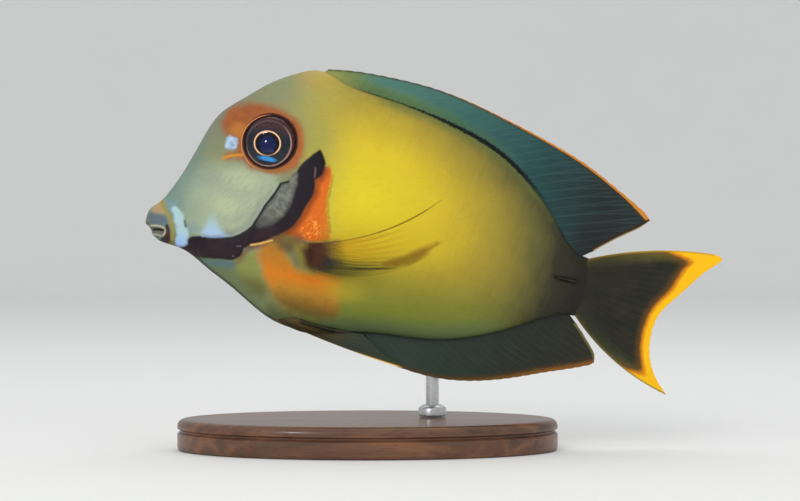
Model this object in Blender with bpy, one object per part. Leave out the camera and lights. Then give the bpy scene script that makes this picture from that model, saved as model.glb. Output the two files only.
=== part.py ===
# A young chocolate surgeonfish, life size, as a museum model on a short rod and a flat oval base.
# It swims towards -X with its head raised, and its left flank faces -Y.
# The fish is drawn level in its own frame, in millimetres: x runs from the snout to the tail,
# y to its right and z up, with z = 0 on the axis through the root of the tail.
import math

import bmesh
import bpy
import numpy as np
from mathutils import Matrix, Vector

MM = 0.001

# Driving dimensions, in millimetres and degrees
STANDARD_LENGTH = 100.0  # snout to the end of the tail's root
NOSE_UP = 12.0  # pitch of the swimming pose
TAIL_SWAY = 5.0  # how far the tail's tip swings to the fish's right
SWAY_START = 45.0  # where the back begins to bend
SWAY_REACH = 85.0
GAP = 0.3  # clearance between pieces that touch
BASE_LENGTH = 86.0
BASE_WIDTH = 54.0
BASE_THICKNESS = 7.0
BASE_BEVEL = 1.2
FIN_CLEARANCE = 8.0  # from the base up to the lowest fin above it
LOWEST_FIN = (79.0, -26.8)  # the anal fin's lowest point, x and z
BALANCE_X = 50.0  # the body's centre of mass, which the base is centred under
ROD_X = 69.0  # where the rod meets the belly, behind the pelvic fins
ROD_SIDE = 3.4  # the rod stands beside the anal fin, on the fish's right
ROD_RADIUS = 1.5
COLLAR_RADIUS = 3.2
COLLAR_HEIGHT = 2.6

# The body's outline and breadth: distance from the snout, back, belly, half breadth, height of the
# broadest point, and how full the section is above and below that point (2 is an ellipse)
STATIONS = (
    (0.0, -4.9, -6.2, 0.5, -5.6, 2.2, 2.2),
    (0.3, -3.4, -6.8, 1.5, -5.4, 2.2, 2.4),
    (1.2, -2.2, -7.3, 2.2, -5.2, 2.2, 2.4),
    (2.4, -0.9, -8.8, 2.6, -5.2, 2.1, 2.3),
    (4.0, 1.9, -9.8, 2.8, -4.8, 2.0, 2.2),
    (6.0, 6.5, -10.1, 3.2, -3.4, 2.0, 2.2),
    (8.0, 12.5, -10.3, 3.8, -0.5, 2.0, 2.2),
    (10.2, 18.9, -10.8, 4.4, 2.5, 2.1, 2.1),
    (12.9, 22.9, -12.0, 5.1, 5.5, 2.2, 2.1),
    (16.6, 26.3, -14.0, 5.9, 8.0, 2.3, 2.0),
    (21.0, 30.2, -16.1, 6.8, 9.0, 2.4, 1.9),
    (26.1, 33.4, -18.9, 7.7, 8.5, 2.3, 1.9),
    (32.0, 35.3, -21.8, 8.7, 7.0, 2.1, 1.9),
    (38.0, 33.6, -22.9, 9.3, 5.5, 1.9, 1.9),
    (47.0, 32.3, -21.8, 9.4, 4.2, 1.8, 1.9),
    (57.0, 30.9, -19.9, 8.7, 3.2, 1.75, 1.9),
    (68.0, 28.3, -18.9, 7.2, 2.6, 1.7, 1.8),
    (76.0, 25.2, -16.9, 5.9, 2.2, 1.7, 1.8),
    (84.0, 19.8, -13.5, 4.5, 1.6, 1.7, 1.8),
    (91.0, 13.0, -9.8, 3.3, 0.8, 1.8, 1.8),
    (95.0, 8.6, -7.9, 2.7, 0.2, 1.9, 1.9),
    (98.0, 6.8, -7.0, 2.3, 0.0, 2.0, 2.0),
    (101.0, 6.9, -7.3, 2.0, 0.0, 2.0, 2.0),
)
RIDGE = 0.55  # half breadth of the keel that the fins stand on
SNOUT_RIDGE = 0.3

# Lines on the head, as x and z
JAW_LINE = ((2.6, 2.0), (4.2, -1.6), (6.0, -4.4), (7.4, -7.0), (8.0, -9.4), (8.0, -12.5))
MOUTH_CORNER = (4.9, -7.8)
MOUTH_FRONT = (1.0, -7.7)
MOUTH_OPENING = 1.5  # height of the gape at the front of the lips
LIP_SWELL = 0.4
GILL_CUT = (
    (31.0, 39.0),
    (33.6, 28.0),
    (35.0, 19.0),
    (35.2, 11.0),
    (33.6, 3.5),
    (29.6, -2.5),
    (24.0, -6.6),
    (18.6, -10.0),
    (14.6, -14.5),
    (12.8, -19.0),
)
PEDUNCLE_CUT = 91.0
GILL_FRONT = ((31.4, 14.0), (29.4, 9.4), (27.2, 4.6), (25.0, -0.2), (21.8, -4.4), (16.6, -6.7), (11.0, -7.9))
GILL_REAR = ((35.2, 17.4), (36.8, 14.2), (36.1, 8.0), (34.3, 1.8), (30.6, -3.2), (24.6, -7.0), (13.6, -10.4))
GILL_THICKNESS = 0.8

EYE = (24.2, 17.1)
EYE_RADIUS = 5.95
EYE_DEPTH = 2.9
EYE_CENTRE_Y = 6.2
EYE_LEAN = (0.19, -0.10)  # how the eye's plane follows the head, along x and z
ORBIT_RADIUS = 6.3
ORBIT_TUBE = 0.6
NOSTRILS = ((15.9, 14.4, 0.55), (17.1, 14.9, 0.38))  # x, z and radius of each pit

# Fins: outlines as x and z
DORSAL_ROOT = (31.9, 97.8)
DORSAL_EDGE = (
    (33.3, 36.1),
    (36.6, 36.7),
    (42.0, 37.2),
    (50.0, 37.3),
    (58.0, 36.9),
    (68.0, 35.2),
    (78.0, 32.7),
    (88.0, 29.8),
    (95.0, 27.3),
    (104.0, 22.9),
    (110.0, 19.6),
    (112.4, 18.0),
)
DORSAL_REAR = ((112.4, 18.0), (110.0, 15.7), (106.0, 12.7), (102.8, 10.1), (100.9, 8.5))
DORSAL_SPINES = 8
DORSAL_RAYS = 35  # spines and soft rays together
DORSAL_REAR_RAYS = 4  # the last ones, which end on the rear edge
DORSAL_SWEEP = 1.05  # the other rays' tips lie at this power of their share of the root
ANAL_ROOT = (49.5, 97.8)
ANAL_EDGE = (
    (51.2, -23.6),
    (58.0, -25.7),
    (66.0, -27.0),
    (73.0, -27.2),
    (80.0, -26.2),
    (88.0, -23.9),
    (96.0, -20.8),
    (102.5, -18.4),
    (106.6, -16.6),
)
ANAL_REAR = ((106.6, -16.6), (105.6, -14.2), (103.8, -12.1), (102.0, -10.2), (100.3, -8.7))
ANAL_SPINES = 3
ANAL_RAYS = 28
ANAL_REAR_RAYS = 4
ANAL_SWEEP = 0.75
TAIL_REAR = (
    (130.2, 12.6),
    (125.9, 8.6),
    (121.8, 2.4),
    (118.3, -3.4),
    (117.4, -7.4),
    (118.0, -11.4),
    (120.1, -15.9),
    (123.4, -20.0),
)
TAIL_ROOT_TOP = 6.4
TAIL_ROOT_BOTTOM = -6.9
TAIL_BULGE = 1.7  # how far the lobes' outer edges bow
TAIL_RAYS = 20
PECTORAL_ROOT = ((36.6, -3.0), (39.0, -9.2))
PECTORAL_TIPS = ((64.2, 12.2), (66.6, 8.8), (67.0, 5.4), (65.4, 2.0), (61.6, -1.2), (56.4, -4.6), (50.0, -7.2))
PECTORAL_RAYS = 15
PECTORAL_SPREAD = 20.0  # degrees between the fin and the flank
PELVIC_ROOT = ((34.6, -21.9), (38.0, -20.4))
PELVIC_TIPS = ((64.0, -26.5), (59.6, -25.2), (54.4, -23.2), (50.0, -21.6))
PELVIC_RAYS = 6
MEMBRANE = 0.26  # half thickness of a fin at its free edge
TAIL_SPINE = (92.8, 98.4, 0.7)  # the folded blade's tip, its hinge, and its height on the peduncle

COLOURS = {
    "skin": (0.72, 0.62, 0.10, 1.0),
    "head_skin": (0.44, 0.52, 0.38, 1.0),
    "gill": (0.10, 0.06, 0.07, 1.0),
    "lips": (0.28, 0.26, 0.24, 1.0),
    "fin": (0.07, 0.13, 0.12, 1.0),
    "tail": (0.85, 0.50, 0.03, 1.0),
    "pectoral": (0.62, 0.45, 0.05, 1.0),
    "eye": (0.02, 0.02, 0.04, 1.0),
    "bone": (0.16, 0.13, 0.10, 1.0),
    "wood": (0.14, 0.08, 0.05, 1.0),
    "steel": (0.60, 0.60, 0.62, 1.0),
}


def spline(xs, ys):
    """A natural cubic spline through the points, as a function of one number."""
    xs = np.asarray(xs, float)
    ys = np.asarray(ys, float)
    count = len(xs)
    step = np.diff(xs)
    matrix = np.eye(count)
    right = np.zeros(count)
    for i in range(1, count - 1):
        matrix[i, i - 1 : i + 2] = step[i - 1], 2 * (step[i - 1] + step[i]), step[i]
        right[i] = 6 * ((ys[i + 1] - ys[i]) / step[i] - (ys[i] - ys[i - 1]) / step[i - 1])
    bend = np.linalg.solve(matrix, right)

    def value(x):
        i = int(np.clip(np.searchsorted(xs, x) - 1, 0, count - 2))
        a, b, h = xs[i + 1] - x, x - xs[i], step[i]
        curve = bend[i] * a**3 + bend[i + 1] * b**3
        line = (ys[i] / h - bend[i] * h / 6) * a + (ys[i + 1] / h - bend[i + 1] * h / 6) * b
        return float(curve / (6 * h) + line)

    return value


def along(points):
    """A smooth curve through points of the x-z plane, as a function of the share of its length."""
    points = np.asarray(points, float)
    reach = np.concatenate([[0], np.cumsum(np.linalg.norm(np.diff(points, axis=0), axis=1))])
    reach /= reach[-1]
    x_of, z_of = spline(reach, points[:, 0]), spline(reach, points[:, 1])
    return lambda share: np.array([x_of(share), z_of(share)])


# Profiles run on the square root of the distance from the snout, which rounds the snout off
ROOTS = [math.sqrt(row[0]) for row in STATIONS]
PROFILES = [spline(ROOTS, [row[k] for row in STATIONS]) for k in range(1, 7)]


def section(x):
    """Back, belly, half breadth, height of the broadest point and the two fullnesses at x."""
    return [profile(math.sqrt(max(x, 0.0))) for profile in PROFILES]


def ridge(x):
    return SNOUT_RIDGE + (RIDGE - SNOUT_RIDGE) * min(1.0, x / DORSAL_ROOT[0])


def lip_swell(x, z):
    """How far the lips stand out beside the gape."""
    run = np.array(MOUTH_FRONT) - np.array(MOUTH_CORNER)
    share = np.clip(((x - MOUTH_CORNER[0]) * run[0] + (z - MOUTH_CORNER[1]) * run[1]) / (run @ run), 0.0, 1.3)
    away = math.hypot(x - MOUTH_CORNER[0] - share * run[0], z - MOUTH_CORNER[1] - share * run[1])
    ridge_line = 0.35 + MOUTH_OPENING / 2 * min(share, 1.0)
    return LIP_SWELL * math.exp(-(((away - ridge_line) / 0.4) ** 2)) * min(1.0, 2 * x)


def flank(x, z):
    """Half breadth of the body at x and z, or 0 outside its outline."""
    back, belly, half, widest, above, below = section(x)
    if not belly < z < back:
        return 0.0
    share, power = ((z - widest) / (back - widest), above) if z > widest else ((widest - z) / (widest - belly), below)
    return ridge(x) + (half - ridge(x)) * math.sqrt(max(0.0, 1 - share**power)) + lip_swell(x, z)


def swum(point):
    """A point of the level, straight fish once its tail has swung to the right."""
    x, y, z = point
    bend = max(0.0, x - SWAY_START) / SWAY_REACH
    return (x, y + TAIL_SWAY * bend**2, z)


def material(name):
    found = bpy.data.materials.get(name)
    if found is None:
        found = bpy.data.materials.new(name)
        found.use_nodes = True
        shader = found.node_tree.nodes["Principled BSDF"]
        shader.inputs["Base Color"].default_value = COLOURS[name]
        shader.inputs["Roughness"].default_value = 0.3 if name in ("eye", "steel") else 0.5
        shader.inputs["Metallic"].default_value = 1.0 if name == "steel" else 0.0
    return found


def mesh_object(name, points, faces, look=None):
    """An object in millimetre coordinates of its own, whose faces are turned outwards."""
    mesh = bpy.data.meshes.new(name)
    mesh.from_pydata([tuple(p) for p in points], [], faces)
    shape = bmesh.new()
    shape.from_mesh(mesh)
    bmesh.ops.triangulate(shape, faces=shape.faces)
    if shape.calc_volume(signed=True) < 0:
        bmesh.ops.reverse_faces(shape, faces=shape.faces)
    shape.to_mesh(mesh)
    shape.free()
    obj = bpy.data.objects.new(name, mesh)
    bpy.context.scene.collection.objects.link(obj)
    if look:
        mesh.materials.append(material(look))
    return obj


def join_or_cut(obj, others, operation):
    """Applies one exact Boolean of the other objects to obj, and removes them."""
    group = bpy.data.collections.new("tools")
    bpy.context.scene.collection.children.link(group)
    for other in others:
        group.objects.link(other)
    modifier = obj.modifiers.new(operation, "BOOLEAN")
    modifier.operation = operation
    modifier.operand_type = "COLLECTION"
    modifier.collection = group
    modifier.solver = "EXACT"
    graph = bpy.context.evaluated_depsgraph_get()
    made = bpy.data.meshes.new_from_object(obj.evaluated_get(graph))
    obj.modifiers.clear()
    obj.data = made
    for other in others:
        bpy.data.objects.remove(other)
    bpy.data.collections.remove(group)


def islands(shape):
    """The mesh's connected pieces, as lists of faces."""
    left = set(shape.faces)
    found = []
    while left:
        stack = [left.pop()]
        piece = list(stack)
        while stack:
            for edge in stack.pop().edges:
                for face in edge.link_faces:
                    if face in left:
                        left.remove(face)
                        stack.append(face)
                        piece.append(face)
        found.append(piece)
    return found


def parted(obj, names):
    """Splits obj into its loose pieces, named from the snout to the tail by their centres."""
    pieces = []
    shape = bmesh.new()
    shape.from_mesh(obj.data)
    for faces in islands(shape):
        corners = list({vertex for face in faces for vertex in face.verts})
        index = {vertex: i for i, vertex in enumerate(corners)}
        points = [vertex.co.copy() for vertex in corners]
        pieces.append((points, [[index[v] for v in face.verts] for face in faces]))
    shape.free()
    pieces = sorted(pieces, key=lambda piece: -len(piece[0]))[: len(names)]
    made = {}
    for name, (where, look) in names.items():
        points, faces = min(pieces, key=lambda p: (sum(p[0], Vector()) / len(p[0]) - Vector(where)).length)
        made[name] = mesh_object(name, points, faces, look)
    bpy.data.objects.remove(obj)
    return made


def keep_largest(obj):
    """Leaves only the largest closed surface of obj."""
    shape = bmesh.new()
    shape.from_mesh(obj.data)
    pieces = sorted(islands(shape), key=lambda faces: sum(face.calc_area() for face in faces))
    scraps = [face for faces in pieces[:-1] for face in faces]
    bmesh.ops.delete(shape, geom=scraps, context="FACES")
    shape.to_mesh(obj.data)
    shape.free()


def smooth(obj, angle=35.0):
    obj.data.shade_smooth()
    obj.data.set_sharp_from_angle(angle=math.radians(angle))


def body_loft(name, stations, rows, grown=0.0):
    """The whole body from snout to tail root, closed, grown on all sides by a little where asked."""
    points, faces = [], []
    count = rows + 1
    for x in stations:
        back, belly, half, widest, above, below = section(x)
        keel = ridge(x)
        for side in (1, -1):
            for j in range(count):
                turn = math.radians(-90 + 180 * j / rows)
                lift = abs(math.sin(turn))
                if turn > 0:
                    z = widest + (back + grown - widest) * lift ** (2 / above)
                else:
                    z = widest - (widest - belly + grown) * lift ** (2 / below)
                y = keel + (half - keel) * math.cos(turn) + grown + lip_swell(x, z) * math.cos(turn) ** 0.5
                points.append((x, side * y, z))
    ring = 2 * count
    for i in range(len(stations) - 1):
        a, b = i * ring, (i + 1) * ring
        for j in range(rows):
            faces += [(a + j, a + j + 1, b + j + 1, b + j)]
            faces += [(b + count + j, b + count + j + 1, a + count + j + 1, a + count + j)]
        faces += [(a + rows, a + count + rows, b + count + rows, b + rows)]
        faces += [(a + count, a, b, b + count)]
    last = (len(stations) - 1) * ring
    for j in range(rows):
        faces += [(j + 1, j, count + j, count + j + 1)]
        faces += [(last + j, last + j + 1, last + count + j + 1, last + count + j)]
    return mesh_object(name, points, faces, "skin")


def prism(name, outline, reach=25.0):
    """A polygon of the x-z plane drawn out across the fish."""
    count = len(outline)
    points = [(x, side, z) for side in (-reach, reach) for x, z in outline]
    faces = [tuple(range(count))[::-1], tuple(range(count, 2 * count))]
    faces += [(i, (i + 1) % count, count + (i + 1) % count, count + i) for i in range(count)]
    return mesh_object(name, points, faces)


def thin_cut(name, points, steps, width=GAP):
    """A thin curved wall across the fish, which parts one piece from the next."""
    curve = along(points)
    middle = np.array([curve(i / steps) for i in range(steps + 1)])
    run = np.gradient(middle, axis=0)
    run /= np.linalg.norm(run, axis=1)[:, None]
    across = np.stack([-run[:, 1], run[:, 0]], axis=1) * width / 2
    return prism(name, [*(middle + across), *(middle - across)[::-1]])


def mouth_cut():
    """The gape, narrowing to the corner of the mouth, and the thin parting behind it."""
    x, z = MOUTH_CORNER
    front_x, front_z = MOUTH_FRONT
    end_x, end_z = JAW_LINE[4][0] + 0.1, JAW_LINE[4][1] + 0.9
    half, gape = GAP / 2, MOUTH_OPENING / 2
    outline = [(front_x - 2, front_z + gape), (front_x, front_z + gape), (x, z + half), (end_x, end_z + half)]
    outline += [(end_x, end_z - half), (x, z - half), (front_x, front_z - gape), (front_x - 2, front_z - gape)]
    return prism("mouth_cut", outline)


def ring_on_head(name, side):
    """The raised fold round the eye, a tube laid on the side of the head."""
    turns, corners = 24, 6
    points, faces = [], []
    for i in range(turns):
        angle = 2 * math.pi * i / turns
        x = EYE[0] + ORBIT_RADIUS * math.cos(angle)
        z = EYE[1] + ORBIT_RADIUS * math.sin(angle)
        y = flank(x, z) - 0.1
        for j in range(corners):
            roll = 2 * math.pi * j / corners
            out = ORBIT_TUBE * math.cos(roll)
            points.append(
                (x + out * math.cos(angle), side * (y + ORBIT_TUBE * math.sin(roll)), z + out * math.sin(angle))
            )
    for i in range(turns):
        for j in range(corners):
            a, b = i * corners, (i + 1) % turns * corners
            k = (j + 1) % corners
            faces.append((a + j, a + k, b + k, b + j))
    return mesh_object(name, points, faces)


def ellipsoid(name, centre, radii, segments, rings, look=None, lean=(0.0, 0.0)):
    """An ellipsoid with its poles across the fish, sheared sideways by lean."""
    shape = bmesh.new()
    bmesh.ops.create_uvsphere(shape, u_segments=segments, v_segments=rings, radius=1.0)
    bmesh.ops.rotate(shape, cent=(0, 0, 0), matrix=Matrix.Rotation(math.radians(90), 3, "X"), verts=shape.verts)
    side = math.copysign(1.0, centre[1])
    points = [[centre[k] + radii[k] * vertex.co[k] for k in range(3)] for vertex in shape.verts]
    for point in points:
        point[1] += side * (lean[0] * (point[0] - centre[0]) + lean[1] * (point[2] - centre[2]))
    faces = [[vertex.index for vertex in face.verts] for face in shape.faces]
    shape.free()
    return mesh_object(name, points, faces, look)


def ray_sheet(name, rays, rows, halves, ridges, lie, look):
    """A fin: a membrane with its rays raised on both faces.

    rays holds (root, bow, tip) of each ray in the x-z plane, halves the half thickness at the root
    and at the edge, ridges the height of each ray, and lie gives the middle surface's y.
    """
    columns = []
    for i, ray in enumerate(rays):
        columns.append((ray, ridges[i]))
        if i + 1 < len(rays):
            between = [(np.asarray(p) + np.asarray(q)) / 2 for p, q in zip(ray, rays[i + 1])]
            between[2] = between[2] + (between[0] - between[2]) * 0.008
            columns.append((between, 0.0))
    count, high = len(columns), rows + 1
    front, rear = [], []
    for c, ((root, bow, tip), lift) in enumerate(columns):
        for r in range(high):
            t = r / rows
            x, z = (1 - t) ** 2 * np.asarray(root) + 2 * t * (1 - t) * np.asarray(bow) + t**2 * np.asarray(tip)
            half = halves[1] + (halves[0] - halves[1]) * (1 - t) ** 2 + lift * (1 - 0.65 * t)
            y = lie(x, z, t, c / (count - 1))
            front.append((x, y + half, z))
            rear.append((x, y - half, z))
    size = count * high
    faces = []

    def quad(a, b, c, d):
        faces.extend([(a, b, c), (a, c, d)])

    for c in range(count - 1):
        for r in range(rows):
            a, b = c * high + r, (c + 1) * high + r
            quad(a, b, b + 1, a + 1)
            faces.extend([(size + a, size + b + 1, size + b), (size + a, size + a + 1, size + b + 1)])
        a, b = c * high, (c + 1) * high
        quad(a, size + a, size + b, b)
        quad(a + rows, b + rows, size + b + rows, size + a + rows)
    last = (count - 1) * high
    for r in range(rows):
        quad(r, r + 1, size + r + 1, size + r)
        quad(last + r, size + last + r, size + last + r + 1, last + r + 1)
    return mesh_object(name, front + rear, faces, look)


def bowed(root, tip, bow):
    """A ray from root to tip whose middle is pushed sideways by bow."""
    root, tip = np.asarray(root, float), np.asarray(tip, float)
    run = tip - root
    return root, (root + tip) / 2 + 2 * bow * np.array([-run[1], run[0]]) / np.linalg.norm(run), tip


def keel_fin(name, root_span, outline, rear_outline, rays, rear_rays, spines, sweep, back):
    """The dorsal or the anal fin, whose root follows the body's keel a gap away."""
    edge, rear_edge = along(outline), along(rear_outline)
    corner = rays - 1 - rear_rays
    first, last = root_span
    places = np.linspace(first, last, 200)
    heights = np.array([section(x)[0 if back else 1] for x in places])
    run = np.concatenate([[0], np.cumsum(np.hypot(np.diff(places), np.diff(heights)))])
    made, ridges = [], []
    sign = 1 if back else -1
    for i in range(rays):
        share = i / (rays - 1)
        x = float(np.interp(share * run[-1], run, places))
        z = float(np.interp(x, places, heights))
        slope = (np.interp(x + 0.5, places, heights) - np.interp(x - 0.5, places, heights)) / 1.0
        away = np.array([-slope, 1.0]) * sign / math.hypot(slope, 1.0)
        root = np.array([x, z]) + away * GAP * 1.05
        tip = edge((i / corner) ** sweep) if i <= corner else rear_edge((i - corner) / rear_rays)
        made.append(bowed(root, tip, sign * 0.6 * math.sin(math.pi * share)))
        ridges.append(0.24 if i < spines else 0.15)
    return ray_sheet(name, made, 4, (RIDGE * 0.8, MEMBRANE), ridges, lambda x, z, t, k: 0.0, "fin")


def tail_lobe(name, upper, rays):
    """The upper or the lower lobe of the tail fin, a thin gap from the other."""
    rear = along(TAIL_REAR)
    height = TAIL_ROOT_TOP - TAIL_ROOT_BOTTOM
    length = sum(math.dist(p, q) for p, q in zip(TAIL_REAR, TAIL_REAR[1:]))
    made = []
    for i in range(rays):
        inward = i / (rays - 1) if upper else 1 - i / (rays - 1)
        at_root, at_rear = [inward * (0.5 - GAP / 2 / span) for span in (height, length)]
        if not upper:
            at_root, at_rear = 1 - at_root, 1 - at_rear
        root = (STANDARD_LENGTH + GAP, TAIL_ROOT_TOP - height * at_root)
        made.append(bowed(root, rear(at_rear), TAIL_BULGE * (1 - 2 * at_rear) * 0.9))
    return ray_sheet(name, made, 6, (1.25, MEMBRANE), [0.17] * rays, lambda x, z, t, k: 0.0, "tail")


def pectoral_fin(name, side, spread):
    """A pectoral fin that stands out from the flank and curls a little towards its tip."""
    edge = along(PECTORAL_TIPS)
    top, bottom = map(np.array, PECTORAL_ROOT)
    slant = math.tan(math.radians(spread))
    made = []
    for i in range(PECTORAL_RAYS):
        k = i / (PECTORAL_RAYS - 1)
        made.append(bowed(top + (bottom - top) * k, edge(k), -1.9 + 0.6 * k))

    def lie(x, z, t, k):
        root = top + (bottom - top) * k
        start = flank(*root) + GAP + 0.75
        away = (x - root[0]) * slant * (0.75 + 0.25 * t) - 1.2 * t * t + 1.3 * math.sin(math.pi * t) * (0.5 - k)
        return side * (start + away)

    return ray_sheet(name, made, 5, (0.7, MEMBRANE), [0.15] * PECTORAL_RAYS, lie, "pectoral")


def pelvic_fin(name, side):
    """A pelvic fin folded back along the belly."""
    edge = along(PELVIC_TIPS)
    low, high = map(np.array, PELVIC_ROOT)
    made = [bowed(low + (high - low) * i / 5, edge(i / 5), -0.5) for i in range(PELVIC_RAYS)]

    def lie(x, z, t, k):
        beside = flank(x, z) + GAP + 0.62
        return side * max(beside, 1.75 + 0.25 * k)

    return ray_sheet(name, made, 7, (0.45, MEMBRANE), [0.22] + [0.12] * 5, lie, "pectoral")


def gill_cover(name, side):
    """The plate over the gills, laid on the head a gap away and free at its rear edge."""
    front, rear = along(GILL_FRONT), along(GILL_REAR)
    high, wide = 14, 5
    points, faces = [], []
    for layer in (0, 1):
        for i in range(high + 1):
            for j in range(wide + 1):
                share = j / wide
                x, z = front(i / high) * (1 - share) + rear(i / high) * share
                swell = GILL_THICKNESS * (0.45 + 0.55 * math.sin(math.pi * min(1.0, 0.15 + 0.6 * share)))
                taper = min(1.0, 0.45 + 3 * min(i, high - i) / high)
                y = flank(x, z) + GAP * 1.15 + layer * swell * taper
                points.append((x, side * y, z))
    row = wide + 1
    size = row * (high + 1)
    for i in range(high):
        for j in range(wide):
            a = i * row + j
            faces += [(a, a + 1, a + row + 1), (a, a + row + 1, a + row)]
            b = size + a
            faces += [(b, b + row + 1, b + 1), (b, b + row, b + row + 1)]
    rim = [j for j in range(wide)] + [i * row + wide for i in range(high)]
    rim += [high * row + j for j in range(wide, 0, -1)] + [i * row for i in range(high, 0, -1)]
    for i, a in enumerate(rim):
        b = rim[(i + 1) % len(rim)]
        faces += [(b, a, size + a), (b, size + a, size + b)]
    return mesh_object(name, points, faces, "gill")


def tail_spine(name, side, grown=0.0, look=None):
    """The folded blade on the side of the tail's root, pointing forwards."""
    tip, hinge, height = TAIL_SPINE
    steps, corners = 7, 8
    points, faces = [], []
    for i in range(steps + 1):
        share = i / steps
        x = tip - grown + (hinge - tip + 2 * grown) * share
        fat = math.sin(math.pi * (0.06 + 0.80 * share)) ** 0.8
        for j in range(corners):
            turn = 2 * math.pi * j / corners
            y = flank(x, height) - 0.1 + (0.5 * fat + grown) * math.cos(turn)
            points.append((x, side * y, height + (0.6 * fat + grown) * math.sin(turn)))
    for i in range(steps):
        a, b = i * corners, (i + 1) * corners
        faces += [(a + j, a + (j + 1) % corners, b + (j + 1) % corners, b + j) for j in range(corners)]
    faces += [tuple(range(corners))[::-1], tuple(range(steps * corners, (steps + 1) * corners))]
    return mesh_object(name, points, faces, look)


def make_body():
    """Head, jaws, trunk and tail root: modelled whole and parted by thin cuts."""
    snout = [0.0, 0.1, 0.35, 0.8, 1.4, 2.1, 2.9, 3.7, 4.5, 5.4, 6.5, 7.8, 9.2, 10.6, 12.2, 14.2, 16.4]
    rest = list(np.linspace(18.8, 41.2, 9)) + list(np.linspace(44.0, 96.5, 16)) + [98.4, STANDARD_LENGTH]
    whole = body_loft("whole", snout + rest, 20)
    cuts = [
        thin_cut("jaw_cut", JAW_LINE, 8),
        mouth_cut(),
        thin_cut("gill_cut", GILL_CUT, 14),
        prism("peduncle_cut", [(PEDUNCLE_CUT + dx, dz) for dx, dz in ((0, 30), (GAP, 30), (GAP, -30), (0, -30))]),
    ]
    join_or_cut(whole, cuts, "DIFFERENCE")
    pieces = parted(
        whole,
        {
            "upper_jaw": ((3.0, 0, -4.0), "lips"),
            "lower_jaw": ((4.0, 0, -9.2), "lips"),
            "head": ((18.0, 0, 8.0), "head_skin"),
            "torso": ((60.0, 0, 4.0), "skin"),
            "tail_root": ((96.0, 0, 0.0), "fin"),
        },
    )
    rings = [ring_on_head(f"ring{side}", side) for side in (1, -1)]
    join_or_cut(pieces["head"], rings, "UNION")
    pits = []
    for side in (1, -1):
        centre = (EYE[0], side * EYE_CENTRE_Y, EYE[1])
        radii = (EYE_RADIUS + GAP, EYE_DEPTH + GAP, EYE_RADIUS + GAP)
        pits.append(ellipsoid(f"socket{side}", centre, radii, 22, 10, lean=EYE_LEAN))
        for k, (x, z, radius) in enumerate(NOSTRILS):
            pits.append(ellipsoid(f"nostril{side}{k}", (x, side * flank(x, z), z), (radius, 0.9, radius), 8, 6))
    join_or_cut(pieces["head"], pits, "DIFFERENCE")
    keep_largest(pieces["head"])
    grooves = [tail_spine(f"groove{side}", side, grown=GAP) for side in (1, -1)]
    join_or_cut(pieces["tail_root"], grooves, "DIFFERENCE")
    keep_largest(pieces["tail_root"])
    return list(pieces.values())


def make_small_parts():
    """Eyes, gill covers and the tail's blades, a pair of each."""
    made = []
    for side, word in ((-1, "left"), (1, "right")):
        centre = (EYE[0], side * EYE_CENTRE_Y, EYE[1])
        radii = (EYE_RADIUS, EYE_DEPTH, EYE_RADIUS)
        made.append(ellipsoid(f"eye_{word}", centre, radii, 22, 10, "eye", EYE_LEAN))
        made.append(gill_cover(f"gill_cover_{word}", side))
        made.append(tail_spine(f"tail_spine_{word}", side, look="bone"))
    return made


def make_fins():
    return [
        keel_fin(
            "dorsal_fin", DORSAL_ROOT, DORSAL_EDGE, DORSAL_REAR,
            DORSAL_RAYS, DORSAL_REAR_RAYS, DORSAL_SPINES, DORSAL_SWEEP, True,
        ),
        keel_fin(
            "anal_fin", ANAL_ROOT, ANAL_EDGE, ANAL_REAR,
            ANAL_RAYS, ANAL_REAR_RAYS, ANAL_SPINES, ANAL_SWEEP, False,
        ),
        tail_lobe("tail_fin_upper_lobe", True, TAIL_RAYS // 2),
        tail_lobe("tail_fin_lower_lobe", False, TAIL_RAYS // 2),
        pectoral_fin("pectoral_fin_left", -1, PECTORAL_SPREAD),
        pectoral_fin("pectoral_fin_right", 1, PECTORAL_SPREAD * 0.85),
        pelvic_fin("pelvic_fin_left", -1),
        pelvic_fin("pelvic_fin_right", 1),
    ]


def pose_frame():
    """The empty that carries the fish, pitched nose up over the middle of the base."""
    pose = bpy.data.objects.new("swimming_pose", None)
    bpy.context.scene.collection.objects.link(pose)
    turn = Matrix.Rotation(math.radians(NOSE_UP), 4, "Y")
    balance = turn @ Vector((BALANCE_X, 0, 0))
    lowest = turn @ Vector((LOWEST_FIN[0], 0, LOWEST_FIN[1]))
    height = BASE_THICKNESS + FIN_CLEARANCE - lowest.z
    pose.matrix_world = Matrix.Translation(Vector((-balance.x, 0, height)) * MM) @ turn @ Matrix.Scale(MM, 4)
    return pose


def settle(objects, pose):
    """Swings the tail, then writes each piece's real place and size into its mesh."""
    for obj in objects:
        for vertex in obj.data.vertices:
            vertex.co = Vector(swum(vertex.co)) * MM
        obj.parent = pose
        smooth(obj)
    location, rotation, _ = pose.matrix_world.decompose()
    pose.matrix_world = Matrix.LocRotScale(location, rotation, None)


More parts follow.
